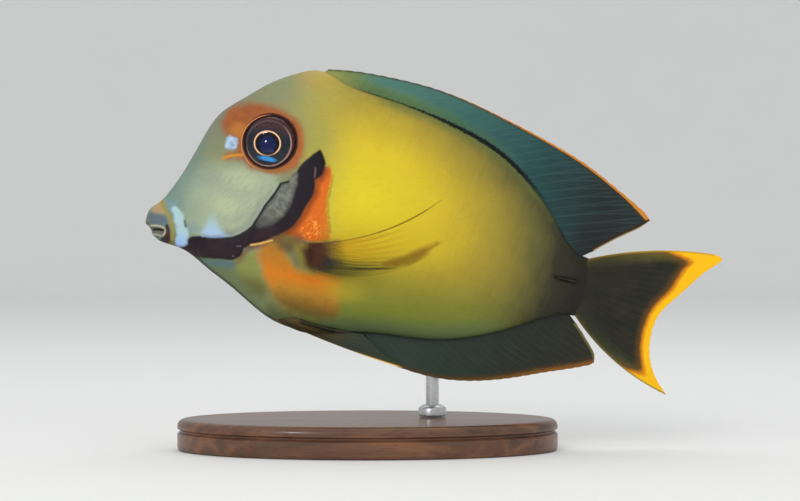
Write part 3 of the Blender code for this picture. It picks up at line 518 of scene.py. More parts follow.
def buildGroups():
    # mask of a patch from the distance inside its edge, whose line wanders a little
    tree, (distance, place, softness, wander, grain) = openTree(
        "raggedPatch", Distance=0.0, Vector=None, Softness=0.3, Wander=0.4, Grain=0.9)
    moved = distance + (noise(place, grain) - 0.5) * wander
    closeTree(moved.share(softness * -1, softness), "Mask")

    # distance from a stroke between two points of the flank, whatever the breadth
    tree, (place, start, end) = openTree("strokeDistance", Vector=None, From=None, To=None)
    run = end.vector("SUBTRACT", start)
    away = place.vector("SUBTRACT", start).vector("MULTIPLY", (1, 0, 1))
    share = away.vector("DOT_PRODUCT", run).maths("DIVIDE", run.vector("DOT_PRODUCT", run))
    nearest = run.vector("SCALE", Scale=field(tree, "ShaderNodeClamp", {0: share}))
    closeTree(away.vector("DISTANCE", nearest), "Distance")

    # fine streaks, Length long and Width wide in millimetres, turned about the breadth by Angle
    tree, (place, angle, length, width) = openTree("streaks", Vector=None, Angle=0.0, Length=5.0, Width=0.4)
    turned = field(tree, "ShaderNodeVectorRotate", {"Vector": place, "Angle": angle}, rotation_type="Y_AXIS")
    closeTree(noise(turned.vector("DIVIDE", joined(tree, length, length, width)), 1), "Value")

    # small scales, as a height
    tree, (place, size) = openTree("fineScales", Vector=None, Size=0.5)
    flat = place.vector("DIVIDE", joined(tree, size, 1, size * 0.74)).vector("MULTIPLY", (1, 0, 1))
    cells = field(tree, "ShaderNodeTexVoronoi", {"Vector": flat, "Scale": 1, "Randomness": 0.55}, "Distance")
    closeTree(1 - cells, "Height")

    # sparse small flecks
    tree, (place, size, amount) = openTree("flecks", Vector=None, Size=0.7, Amount=0.3)
    grid = place.vector("DIVIDE", joined(tree, size, size, size))
    cells = addNode(tree, "ShaderNodeTexVoronoi", {"Vector": grid, "Scale": 1})
    pick = field(tree, "ShaderNodeSeparateColor", {0: Field(tree, cells.outputs["Color"])})
    dot = Field(tree, cells.outputs["Distance"]).share(0.42, 0.12)
    closeTree(pick.maths("LESS_THAN", amount) * dot, "Mask")

    # the rays of a fin by their number, forking as finRibs has them
    tree, (ray, along, width, spines) = openTree("finRays", Ray=0.0, Along=0.0, Width=0.12, Spines=0.0)
    soft = ray.maths("ROUND").maths("GREATER_THAN", spines - 0.5)
    closeTree(forked(ray, along, soft).share(width, 0), "Mask")

    # cloudy unevenness of a tone
    tree, (place, size) = openTree("clouding", Vector=None, Size=6.0)
    closeTree(noise(place.vector("DIVIDE", joined(tree, size, size, size)), 1, 4, Roughness=0.55), "Value")
    print("node trees built:", len(bpy.data.node_groups))


def newMaterial(name, roughness, specular=0.5, **constants):
    material = bpy.data.materials.new(name)
    material.use_nodes = True
    shader = material.node_tree.nodes["Principled BSDF"]
    constants.update({"Roughness": roughness, "Specular IOR Level": specular})
    for key, value in constants.items():
        shader.inputs[key.replace("_", " ")].default_value = value
    return material.node_tree, shader


def wire(shader, height=None, reach=0.05, **fields):
    # links a shader's inputs, and a bump whose full height is reach millimetres
    tree = shader.id_data
    if height is not None:
        fields["Normal"] = field(tree, "ShaderNodeBump", {"Height": height, "Distance": reach * 0.001})
    for key, value in fields.items():
        tree.links.new(value.socket, shader.inputs[key.replace("_", " ")])


class Look:
    # a material of the fish, with what it reads from the mesh and the patterns that place its tones
    def __init__(self, name, roughness, specular):
        self.tree, self.shader = newMaterial(name, roughness, specular)
        self.level = self.read("level", "Vector")
        self.x, _, self.z = self.level.parts()

    def read(self, name, output="Fac"):
        return field(self.tree, "ShaderNodeAttribute", output=output, attribute_name=name)

    def effect(self, name, **inputs):
        inputs["Vector"] = self.level
        return field(self.tree, "ShaderNodeGroup", inputs, node_tree=bpy.data.node_groups[name])

    def mask(self, distance, softness=0.3, wander=0.4, grain=0.9):
        return self.effect("raggedPatch", Distance=distance, Softness=softness, Wander=wander, Grain=grain)

    def patch(self, name, softness=0.3, wander=0.5, grain=0.9):
        return self.mask(self.read(name + "In"), softness, wander, grain)

    def stroke(self, line, width, softness=0.15, wander=0.2):
        # a line of headLines, as wide as width to each side
        line = headLines.get(line, line)
        points = [(px, 0, pz) for px, pz in zip(line[::2], line[1::2])]
        parts = [self.effect("strokeDistance", From=start, To=end) for start, end in zip(points[:-1], points[1:])]
        nearest = parts[0]
        for other in parts[1:]:
            nearest = nearest.maths("MINIMUM", other)
        return self.mask(width - nearest, softness, wander, 1.3)

    def near(self, px, pz, wide=1, high=1):
        # rises from 0 at a point to 1 on an oval round it
        away = self.level.vector("SUBTRACT", (px, 0, pz)).vector("MULTIPLY", (1 / wide, 0, 1 / high))
        return away.vector("LENGTH")

    def spot(self, px, pz, wide, high, core, strength, colour):
        # a layer that fades out on an oval, and is full inside the share core of it
        return self.near(px, pz, wide, high).share(1, core, strength), colour

    def clouds(self, size, reach=1):
        return (self.effect("clouding", Size=size) - 0.5) * reach

    def streaks(self, degrees, length, width):
        return self.effect("streaks", Angle=math.radians(degrees), Length=length, Width=width)


skinPaint = dict(
    heart=(222, 204, 42), shoulder=(212, 187, 45), sides=(182, 158, 49), olive=(148, 132, 52),
    lowOlive=(98, 94, 50), rear=(50, 50, 38), tailRoot=(38, 36, 30), green=(122, 138, 52), face=(132, 137, 102),
    forehead=(126, 121, 98), cheek=(160, 173, 146), cheekLine=(182, 190, 150), cheekShade=(134, 148, 126),
    snout=(112, 136, 126), nape=(172, 160, 74), napeBlush=(194, 152, 70), behindEye=(164, 158, 76),
    throat=(112, 122, 84), throatBlue=(88, 116, 118), chestGreen=(134, 142, 78), chestLow=(104, 104, 58),
    chestTop=(170, 118, 40), chestMid=(212, 124, 28), chestFoot=(104, 86, 38), bellyDark=(66, 68, 44),
    bellyGreen=(96, 118, 84), crease=(34, 26, 30), eyePatch=(146, 80, 46), eyePatchWarm=(160, 92, 46),
    eyeGlow=(166, 94, 54), eyeShade=(44, 22, 20), eyeLine=(206, 136, 84), band=(30, 24, 32), bandRed=(50, 34, 40),
    gillGrey=(120, 124, 112), gillDark=(84, 84, 80), rim=(160, 168, 158), groove=(34, 38, 34),
    orange=(214, 104, 26), orangeFleck=(250, 156, 66), foot=(124, 108, 82), blueWhite=(172, 202, 208),
    lavender=(160, 194, 240), haze=(120, 150, 158), spotBlue=(146, 172, 198), spark=(120, 108, 122),
    mouthDark=(50, 44, 46), mouthRed=(78, 52, 48), lip=(176, 170, 152), lipGrey=(104, 106, 96), slit=(48, 46, 38),
    chin=(118, 138, 146), noseOrange=(176, 146, 102), noseGrey=(94, 108, 118), oliveLine=(150, 140, 72),
    yellowLine=(232, 184, 106), streakOrange=(206, 134, 44), baseBlack=(24, 28, 30), pad=(102, 104, 78),
    finShade=(74, 44, 30), finShadeBlue=(42, 36, 44),
)


def buildSkin():
    skin, tone = Look("fishSkin", 0.5, 0.15), SimpleNamespace(**skinPaint)
    x, z, patch, stroke, spot = skin.x, skin.z, skin.patch, skin.stroke, skin.spot
    clouds, mottle = skin.effect("clouding", Size=7), skin.effect("clouding", Size=1.4) - 0.5
    fine, upright = skin.streaks(8, 2.6, 0.30), skin.streaks(80, 5, 1) - 0.5
    keelDepth, keel, eyeAway, bandIn = map(skin.read, ("keelDepth", "bellyHeight", "eyeAway", "bandIn"))

    # the flank's yellow is brightest in its middle and darkens outwards: its own colour, with painted shade where the
    # body rounds away towards the back and belly
    glow = skin.read("glow") + upright * 0.07 + (clouds - 0.5) * 0.10
    slant, low = x + z * -0.02 + (clouds - 0.5) * 6, z + x * -0.25
    colour = layered(
        ramp(glow * 0.8333, 0, tone.heart, 0.30, tone.shoulder, 0.46, tone.sides, 0.59, tone.olive, 0.73,
             tone.lowOlive, 0.84, tone.rear, 0.93, tone.tailRoot),
        (z.share(0, -17, 0.75) * x.share(92, 74), tone.green),
        (slant.share(46, 30), tone.nape),
        spot(32.5, 20, 8, 8, 0.35, 0.8, tone.behindEye),
        (slant.share(36, 22), tone.face),
        (z.share(10, 22) * slant.share(22, 12), tone.forehead),
        (low.share(9.5, 2.5) * slant.share(33, 25), tone.cheek),
        # painted highlights on the cheek (the two pale spots), with a darker spot on its upper front
        spot(20, 7.6, 6, 3.5, 0.2, 0.35, (192, 202, 158)),
        spot(12.6, 6.4, 5, 3.2, 0.2, 0.55, (138, 150, 132)),
        spot(17.6, 1, 5, 3.4, 0.2, 0.5, (190, 202, 160)),
        # painted shade behind the eye, between it and the band
        spot(29.8, 11.4, 4, 4.5, 0.3, 0.55, (112, 108, 78)),
        (slant.share(14, 4), tone.snout),
        spot(31.5, 34, 7.5, 6, 0.2, 0.35, tone.napeBlush),
        ((z + x * 0.20).share(-3.5, -7.5) * x.share(44, 22), tone.throat),
    )

    # chest and belly
    chest = ramp(
        (z + mottle * 2.5 + (clouds - 0.5) * 3).share(-20, -4), 0, tone.chestFoot, 0.30, (184, 130, 44), 0.55,
        tone.chestMid, 1, tone.chestTop)
    colour = layered(
        colour,
        (patch("chestGreen", 1.8, 2, 0.4), blend(z.share(-11.5, -15.5), tone.chestGreen, tone.chestLow)),
        (patch("chestBlue", 0.9, 1), tone.throatBlue),
        (patch("chestDark", 1.8, 2, 0.4) * 0.8, tone.bellyDark),
        (patch("chestOrange", 1.4, 2.4, 0.35), chest),
        spot(47.5, -11.5, 7, 4.5, 0.2, 0.6, (184, 162, 44)),
        (keel.share(5.5, 0.4, 0.8) * x.share(88, 74) * x.share(40, 52, 1, 0.5), tone.bellyGreen),
        (keel.share(0.9, 0.3) * x.share(9, 14) * x.share(40, 32) * 0.7, (36, 44, 38)),
        (keel.share(0.9, 0.2, 0.6) * x.share(40, 30), tone.bellyDark),
        # painted shadow in the crease where the pelvic fins meet the belly
        (stroke("crease", 0.40, 0.5, 0.4), tone.crease),
    )

    # fine streaks and flecks, the greener skin below the dorsal fin, and round the eye
    hatch, flecks = skin.streaks(62, 2.6, 0.34), skin.effect("flecks", Size=1.1, Amount=0.25)
    onCheek = slant.share(31, 25) * x.share(11, 16) * low.share(7, 1) * low.share(-13, -9.5)
    ring = (eyeAway + mottle * 0.6 - x.share(19, 30, 7.5, 6.5)).share(0.45, -0.45)
    ring = ring * x.share(20, 30, 1, 0.55) * (x + z).share(51, 45, 1, 0.3)
    colour = layered(
        colour,
        (fine.share(0.52, 0.72, 0.08) * x.share(88, 74), (150, 140, 90), "MULTIPLY"),
        (mottle.share(0, 0.2, 0.05), (150, 140, 100), "MULTIPLY"),
        (onCheek * hatch.share(0.54, 0.68, 0.40), tone.cheekShade),
        (onCheek * hatch.share(0.46, 0.32, 0.45), tone.cheekLine),
        (flecks * (keelDepth.share(16, 3, 0.07) * x.share(62, 44)), (230, 222, 150)),
        ((keelDepth + clouds * 2).share(4.2, 1.4) * x.share(42, 50) * x.share(94, 82) * 0.7, (96, 108, 56)),
        (patch("eyePatch", 1.2, 2, 0.4), blend(mottle.share(-0.35, 0.35), tone.eyePatch, tone.eyePatchWarm)),
        spot(16.8, 18.2, 3, 2.6, 0.3, 0.7, (188, 122, 54)),
        (ring, blend(z.share(13, 9.5), tone.eyeGlow, (156, 108, 48))),
        ((eyeAway + mottle * 0.3 - z.share(17, 23, 6.40, 6.30)).share(0.25, -0.25), tone.eyeShade),
        (abs(eyeAway - 7.4).share(0.30, 0.10) * x.share(29, 30.8) * 0.45, (196, 98, 48)),
        (abs(skin.near(24.17, 16.7) - 6.35).share(0.17, 0.04) * x.share(23.6, 20.6), tone.eyeLine),
        (stroke("noseStreak", 0.32, 0.25, 0.3), tone.streakOrange),
        # the blue spot by the nostril, mottled with a paler blue that is painted highlight
        (patch("nostrilSpot", 0.4, 1.2), blend(mottle.share(-0.15, 0.15), tone.spotBlue, (184, 202, 226))),
    )

    # gill cover, dark band and the orange bar behind it
    sparks = skin.streaks(60, 0.95, 0.34).share(0.50, 0.62)
    sparks = sparks * skin.near(37.4, -0.6, 2.6, 3.4).share(1.1, 0.5, 1, 0.12)
    fire = blend(x.share(38.6, 41, 0.7), blend(sparks, tone.orange, tone.orangeFleck), (204, 134, 38))
    dark = blend((clouds - 0.5 + mottle * 0.4 - z * 0.02).share(-0.10, 0.30), tone.band, tone.bandRed)
    grey = blend(mottle.share(-0.10, 0.12, 0.7), tone.gillGrey, tone.gillDark)
    beside = (bandIn + mottle * 0.8).share(-1.9, 0, 0.8) * (x - z * 0.5).share(26.5, 28.5) * z.share(15.5, 13)
    lowShade = (bandIn + mottle * 0.6).share(-2, -0.3, 0.6) * x.share(16.5, 19) * x.share(28, 26) * z.share(-8, -7)
    rimShade = (stroke("preopercle", 1.3, 1.3, 0.6) * z.share(7, 1, 0.7, 0.2)).maths("MAXIMUM", lowShade)
    root = blend(skin.near(42.5, -6, 2, 2.4).share(1.2, 0.5), tone.finShade, tone.finShadeBlue)
    bluish = blend((z + mottle * 4).share(-6, -10), tone.blueWhite, tone.lavender)
    colour = layered(
        colour,
        (rimShade, (114, 121, 115)),
        (patch("orange", 0.45, 1.1, 0.9), fire),
        (stroke("orangeEdge", 0.12, 0.35, 1.3) * 0.6, (134, 100, 40)),
        (stroke("barFoot", 0.55, 0.5, 0.5) * 0.8, tone.foot),
        # painted shade between the band and the pectoral fin's root
        spot(34.6, -2.6, 3.2, 2, 0.2, 0.65, (116, 64, 34)),
        (patch("pad", 1, 1.2, 0.6) * 0.8, tone.pad),
        # more painted shade between the band and the fin's root
        spot(32.6, -4.4, 3.6, 2.8, 0.3, 0.75, (86, 68, 44)),
        (patch("finShade", 1.5, 1.2, 0.5) * (x + mottle).share(35, 38, 1, 0.7), root),
        # painted shade on the orange beside the band's edge, where the gill cover stands over it
        (beside, (112, 60, 36)),
        (patch("band", 0.30, 0.5, 0.9), dark),
        (patch("gillGrey", 0.7, 0.9, 0.8), blend((z + mottle * 2).share(2.5, -2.5, 0.8), grey, (64, 56, 60))),
        (stroke("cheekRim", 0.30, 0.35, 0.4) * 0.7, tone.rim),
        (stroke("preopercle", 0.26, 0.20, 0.3), tone.groove),
        (stroke("bandSlit", 0.16, 0.2, 0.2) * 0.8, (120, 92, 92)),
        (stroke("underBand", 0.22, 0.18, 0.15), tone.yellowLine),
        (patch("wedgeHaze", 1.1, 1.2, 0.6) * 0.55, tone.haze),
        (patch("wedge", 0.9, 0.9, 0.6) * z.share(-0.4, -4.2, 1, 0.2),
         blend(z.share(-3, -6.3), (166, 194, 200), (166, 194, 232))),
        (patch("barHaze", 0.9, 0.8, 0.6) * 0.6, tone.haze),
        (patch("bar", 0.5, 1.3, 0.7), bluish),
        (stroke("barSpot", 0.28, 0.25, 0.3), (96, 110, 112)),
        # painted glints on the band
        (stroke((21.8, -7.3, 22.6, -7.1), 0.10, 0.16, 0.1) * 0.8, tone.spark),
        (stroke((21.2, -9.7, 21.5, -9.65), 0.10, 0.16, 0.1) * 0.8, tone.spark),
        (stroke((13.4, -6.75, 16.4, -6.35, 19.4, -5.35), 0.12, 0.25, 0.2) * 0.7, tone.lavender),
    )

    # mouth, and the black line under the dorsal fin
    teeth = skin.mask(x.share(46, 72, 0.55, 0.06) - keelDepth, 0.2, 1.2, 2)
    colour = layered(
        colour,
        (patch("noseOrange", 0.8, 0.8) * 0.9, tone.noseOrange),
        (patch("noseGrey", 0.7, 0.6), tone.noseGrey),
        (stroke("beforeBar", 0.42, 0.40, 0.4), tone.oliveLine),
        (patch("oliveFoot", 0.35, 0.4), (112, 106, 56)),
        (patch("lipArea", 0.3, 0.2), tone.lipGrey),
        (patch("mouthDark", 0.30, 0.3), blend(mottle.share(-0.10, 0.12), tone.mouthDark, tone.mouthRed)),
        (stroke("upperLip", 0.20, 0.16, 0.1), tone.lip),
        (stroke("lowerLip", 0.15, 0.16, 0.1), tone.lip),
        (stroke("chin", 0.12, 0.18, 0.1), tone.chin),
        (stroke("slit", 0.20, 0.14, 0.08), tone.slit),
        (teeth * x.share(38, 44) * x.share(92, 80), tone.baseBlack),
    )
    height = skin.effect("fineScales", Size=0.42) * 0.5 + hatch * onCheek * 0.3 + fine * 0.2
    wire(skin.shader, height, 0.02, Base_Color=colour, Roughness=mottle.share(-0.25, 0.25, 0.60, 0.44))


finPaint = dict(
    dorsalFront=(78, 121, 108), dorsalMid=(60, 101, 96), dorsalRear=(40, 74, 76), dorsalTip=(36, 43, 42),
    napeOlive=(112, 132, 76), analFront=(52, 68, 60), analMid=(44, 56, 48), analRear=(42, 42, 34),
    tailInner=(44, 42, 34), tailOuter=(36, 38, 30), tailOlive=(98, 90, 42), tailGreen=(66, 76, 50),
    edgeOrange=(206, 132, 46), edgeDark=(58, 34, 26), yellow=(250, 190, 24), crescent=(214, 130, 22),
    pale=(176, 166, 122), base=(24, 28, 30), ochre=(136, 100, 22),
)


class FinLook(Look):
    def __init__(self, name, spines, width=0.14):
        super().__init__(name, 0.45, 0.12)
        self.ray, self.along = self.read("ray"), self.read("along")
        inputs = {"Ray": self.ray, "Along": self.along, "Width": width, "Spines": spines}
        self.rays = field(self.tree, "ShaderNodeGroup", inputs, node_tree=bpy.data.node_groups["finRays"])

    def finish(self, colour, **more):
        wire(self.shader, self.rays * 0.5 + self.clouds(0.5, 0.4), 0.03, Base_Color=colour, **more)


def buildFins():
    tone = SimpleNamespace(**finPaint)
    fin = FinLook("dorsalFin", 8)
    x, z, rays = fin.x, fin.z, fin.rays
    rim, rear, base = map(fin.read, ("rim", "rear", "base"))
    silk = fin.streaks(12, 7, 0.35)
    margin = x.share(50, 100, 0.55, 0.05) + x.share(103, 112, 0.6) - rim
    teeth = fin.mask(x.share(46, 70, 0.60, 0.10) - base, 0.2, 1.2, 2)
    fin.finish(layered(
        ramp((x + fin.clouds(6, 12)).share(30, 112), 0, tone.napeOlive, 0.10, tone.dorsalFront, 0.42, tone.dorsalMid,
             0.72, tone.dorsalRear, 0.95, tone.dorsalTip),
        ((base + fin.clouds(3, 2.5)).share(3.4, 0.6) * x.share(68, 50, 0.85), tone.napeOlive),
        ((base + fin.clouds(3, 2)).share(3, 0.8) * x.share(86, 64, 0.7), (74, 104, 66)),
        (base.share(4, 1) * x.share(44, 34), (140, 146, 84)),
        (silk.share(0.52, 0.70, 0.06), (84, 130, 128)),
        (silk.share(0.48, 0.30, 0.10), (36, 56, 58)),
        (rays * x.share(50, 90, 0.10, 0.04), (96, 130, 124)),
        (z.share(17, 10) * x.share(92, 102, 0.7), (36, 36, 42)),
        (fin.mask(margin + 0.35, 0.3, 0.3) * 0.8, (62, 48, 34)),
        (fin.mask(margin, 0.2, 0.3, 1.2) * x.share(44, 66, 1, 0.15), tone.edgeOrange),
        (rear.share(1.1, 0.5), tone.edgeDark),
        (rear.share(0.45, 0.15, 0.8), tone.pale),
        (teeth * x.share(38, 44) * x.share(92, 80), tone.base),
    ))

    fin = FinLook("analFin", 3)
    x, rays = fin.x, fin.rays
    rim, rear, base = map(fin.read, ("rim", "rear", "base"))
    margin = x.share(56, 100, 0.90, 0.06) - rim
    fin.finish(layered(
        ramp((x + fin.clouds(5, 14)).share(48, 106), 0, tone.analFront, 0.5, tone.analMid, 1, tone.analRear),
        (fin.streaks(-23, 6, 0.35).share(0.52, 0.70, 0.12), (78, 94, 88)),
        (rays * 0.07, (86, 98, 88)),
        (fin.mask(margin + 0.7, 0.6, 0.7, 0.7) * 0.7, (76, 56, 32)),
        (fin.mask(margin, 0.6, 0.6) * x.share(62, 98, 0.8, 0.25), (142, 94, 36)),
        (rear.share(0.8, 0.25, 0.8), (124, 116, 66)),
        # painted shadow between the last rays and the tail's root
        (fin.near(94.8, -6.6, 2.5).share(1.5, 0.5, 0.8), (30, 34, 50)),
        (base.share(0.8, 0.1, 0.8), (36, 42, 36)),
    ))

    fin = FinLook("tailFin", 1, 0.16)
    x, z, rays = fin.x, fin.z, fin.rays
    edge, below = fin.read("side"), z.share(-1, -5)
    tip = (x + below * 4).share(112, 126, 2.4, -1) - edge
    lit = (z.share(1.5, 9.5, 3.6, 1.9) - fin.read("rim")).maths("SMOOTH_MAX", tip, 2.2)
    fin.finish(layered(
        blend(fin.clouds(5).share(-0.15, 0.15), tone.tailInner, tone.tailOuter),
        ((edge + fin.clouds(2.5, 1.6)).share(3.6, 0.3) * x.share(102, 118, 1, 0.25),
         blend(below, tone.tailOlive, tone.tailGreen)),
        (rays * 0.08, (84, 82, 66)),
        (fin.mask(lit + 1.1, 1.1, 0.8, 0.6) * 0.8, (112, 76, 30)),
        (fin.mask(lit + 0.25, 0.4, 0.5, 0.8), tone.crescent),
        (fin.mask(lit - 0.35, 0.4, 0.5, 0.8), tone.yellow),
        (edge.share(0.55, 0.15) * x.share(100, 116, 0.8, 0.15), blend(below, (190, 150, 40), (128, 128, 58))),
    ))

    fin = FinLook("pectoralFin", 1, 0.24)
    x, along, rays, line = fin.x, fin.along, fin.rays, fin.read("lowLine")
    share = fin.ray * (1 / 14)  # of the way over its 15 rays
    lower, leading = share.share(0.30, 0.52), share.share(0.026, 0)
    root = (along + fin.clouds(2, 0.08) - lower * 0.09).share(0.34, 0.12) * share.share(0.96, 0.72, 1, 0.3)
    smudge = fin.mask(x.share(54, 60, 1.2, 0.7) - x.share(61, 65.5, 0.9) - fin.read("smudge"), 0.9, 0.9, 0.5)
    colour = layered(
        ramp(share, 0, (196, 150, 24), 0.14, (228, 182, 28), 0.34, (214, 178, 36), 0.50, (142, 134, 44), 0.80,
             (108, 104, 42), 1, (150, 120, 50)),
        (rays * lower.share(0, 1, 0.85, 0.35), blend(lower, (150, 104, 14), (56, 46, 20))),
        (root, blend((along + fin.clouds(1.8, 0.08)).share(0.12, 0.24), (74, 43, 29), (44, 42, 50))),
        (smudge, tone.ochre),
        (leading, (112, 86, 24)),
        (line.share(0.30, 0.10) * x.share(60, 52) * 0.9, (66, 54, 20)),
    )
    solid = rays * (along - lower * 0.05).share(0.80, 0.25, 0.9, 0.02)
    for other in (
        along.share(0.66, 0.22, 0.40, 0.04), lower * along.share(0.85, 0.35, 0.55, 0.05), smudge * 0.6,
        leading * along.share(1, 0.75, 0.85, 0.15), root, line.share(0.30, 0.12) * x.share(60, 54, 0.8),
    ):
        solid = solid.maths("MAXIMUM", other)
    solid = solid * share.share(0.97, 0.86, 1, 0.04)
    fin.finish(colour, Alpha=solid * along.share(0.03, 0.11))

    fin = FinLook("pelvicFin", 1, 0.2)
    x, rays, share = fin.x, fin.rays, fin.ray * (1 / 5)  # share of the way over its 6 rays
    fin.finish(layered(
        blend(x.share(42, 54), blend(share.share(0.3, 0.8), (64, 54, 38), (88, 74, 40)), (46, 62, 54)),
        # painted shadow along the upper rays where the fin lies against the belly
        (share.share(0.65, 0.9) * x.share(38, 40) * x.share(49, 46) * 0.9, (32, 29, 30)),
        (rays * 0.25, (92, 86, 56)),
        (share.share(0.10, 0.03) * 0.8, (128, 104, 52)),
        (share.share(0.12, 0.02) * x.share(50, 58), (226, 176, 40)),
    ))


eyePaint = dict(
    pupil=(16, 26, 70), pupilEdge=(6, 5, 8), ring=(250, 196, 150), irisDark=(30, 36, 46), iris=(62, 40, 42),
    irisShade=(24, 22, 28), line=(176, 140, 128), rim=(58, 30, 24), blue=(52, 146, 222),
)


def buildEye():
    tree, shader = newMaterial("eyeBall", 0.06, 0.3)
    x, z = (field(tree, "ShaderNodeAttribute", output="Fac", attribute_name=name) for name in ("eyeX", "eyeZ"))
    place, tone = joined(tree, x, z), SimpleNamespace(**eyePaint)

    def away(centreX, centreZ, wide=1, high=1):
        moved = place.vector("SUBTRACT", (centreX, centreZ, 0))
        return moved.vector("MULTIPLY", (1 / wide, 1 / high, 0)).vector("LENGTH")

    wobble = (noise(place, 0.9, 4) - 0.5) * 0.6
    rim, inner = away(-0.15, -0.49), away(eye["ringX"], eye["ringZ"], 1, eye["ringHigh"])
    spokes = noise(joined(tree, z.maths("ARCTAN2", x), away(0, 0) * 0.25), 7, 2)
    thread = (abs(rim - 5.05) + wobble * 0.3).share(0.26, 0.04, 0.9)
    ring = (abs(inner - eye["ringRadius"]) + wobble * 0.15).share(0.22, 0.08)
    wire(shader, Base_Color=layered(
        blend((z + wobble).share(0.6, 3.2), tone.irisDark, tone.iris),
        (spokes.share(0.45, 0.70, 0.6), tone.irisShade),
        ((inner + wobble).share(4.3, 3, 0.8), tone.irisDark),
        # a painted reflection: the blue crescent low on the eye
        ((away(0.35, -3.95, 2.4, 0.62) + wobble).share(1.15, 0.45, 0.95), tone.blue),
        (thread * (x * 0.8 - z).share(-3, 3, 1, 0.12), tone.line),
        (rim.share(5.2, 5.45), tone.rim),
        (inner.share(3.05, 2.85), tone.pupilEdge),
        (away(-0.25, -0.9).share(2.2, 1.65), tone.pupil),
        (ring * (x * -0.3 + z).share(-3.4, -2.4, 1, 0.25), tone.ring),
    ))


def buildStandMaterials():
    scalpel = Look("scalpel", 0.5, 0.15)
    mottle = scalpel.effect("clouding", Size=0.8)
    wire(scalpel.shader, Base_Color=blend(mottle.share(0.35, 0.7), (30, 29, 25), (48, 45, 35)))

    def stretched(tree, *scale):
        where = field(tree, "ShaderNodeTexCoord", output="Object")
        return where.vector("ADD", (0.02, 0.011, 0.03)).vector("MULTIPLY", scale)

    tree, shader = newMaterial("baseWood", 0.4, Coat_Weight=0.35, Coat_Roughness=0.18)
    rings = noise(stretched(tree, 26, 230, 210), 1, 6, Distortion=0.6)
    pores = noise(stretched(tree, 160, 2600, 2600), 1, 2)
    colour = ramp(rings, 0.30, (58, 34, 22), 0.48, (92, 56, 34), 0.62, (122, 78, 46), 0.75, (80, 48, 30))
    colour = blend(pores.share(0.60, 0.72, 0.7), colour, (34, 20, 14))
    wire(shader, 1 - pores, 0.03, Base_Color=colour, Roughness=rings.share(0.3, 0.7, 0.48, 0.36))

    tree, shader = newMaterial("rodSteel", 0.3, Metallic=1)
    lines = noise(stretched(tree, 900, 900, 16000), 1, 2)
    colour = blend(lines, (188, 188, 190), (214, 214, 216))
    wire(shader, lines, 0.004, Base_Color=colour, Roughness=lines.share(0.2, 0.8, 0.40, 0.22))

    tree, shader = newMaterial("studioPaper", 0.9, 0.1)
    wire(shader, Base_Color=blend(noise(stretched(tree, 1, 1, 1), 3), (232, 232, 230), (238, 238, 236)))


buildFinRibs()
buildTurnedForm()
buildGroups()
buildSkin()
buildFins()
buildEye()
buildStandMaterials()
print("materials built:", len(bpy.data.materials))

sides = ((-1, "left"), (1, "right"))


def makeSkin():
    skin = {"rows": 150, "noseStep": 0.17, "headStep": 0.29, "bodyStep": 0.78, "end": 104}
    stations = np.concatenate([
        np.linspace(0, math.sqrt(2.6), 26) ** 2, np.arange(2.75, 12, skin["noseStep"]),
        np.arange(12.1, 42, skin["headStep"]), np.arange(42.3, 97, skin["bodyStep"]),
        np.linspace(97.4, skin["end"], 16),
    ])
    rows = skin["rows"]
    turn = np.radians(np.linspace(-90, 90, rows + 1))
    turn = turn - 0.10 * np.sin(4 * turn)  # closer rows where the flank is broad
    back, belly, half, widest, above, below = [value[:, None] for value in section(stations)]
    x = np.repeat(stations[:, None], rows + 1, axis=1)
    lift, up = np.abs(np.sin(turn))[None, :], turn[None, :] > 0
    z = np.where(up, widest + (back - widest) * lift ** (2 / above), widest - (widest - belly) * lift ** (2 / below))
    keel = keelHalf(stations)[:, None]
    base = np.stack([x, keel + (half - keel) * np.cos(turn)[None, :], z], axis=-1)
    normal = np.cross(np.gradient(base, axis=0), np.gradient(base, axis=1))
    normal /= np.linalg.norm(normal, axis=-1, keepdims=True) + 1e-12
    normal *= np.sign(normal[..., 1:2] + 1e-9)
    normal[:, :3], normal[:, -3:] = normal[:, 3:4], normal[:, -4:-3]
    raised = base + normal * (relief(x, z) * smoothstep(-0.3, 2.2, x))[..., None]
    raised = np.maximum(raised, (0.04, 0.02, -np.inf))
    ring, flat = (np.concatenate([flanks, flanks[:, ::-1] * (1, -1, 1)], axis=1) for flanks in (raised, base))
    columns = ring.shape[1]
    faces = gridFaces(len(stations), columns, wrap=True)
    for start in (0, (len(stations) - 1) * columns):  # the two ends
        for j in range(rows):
            quad = [start + j, start + j + 1, start + columns - 2 - j, start + columns - 1 - j]
            faces.append(quad[::-1] if start == 0 else quad)
    piece = meshPiece("skin", ring.reshape(-1, 3), faces, "fishSkin", skinZones(*flat.reshape(-1, 3).T[::2]))
    covered = ("head", "upper_jaw", "lower_jaw", "gill_cover_left", "gill_cover_right", "torso", "tail_root")
    mount(piece, "body_skin", *covered)


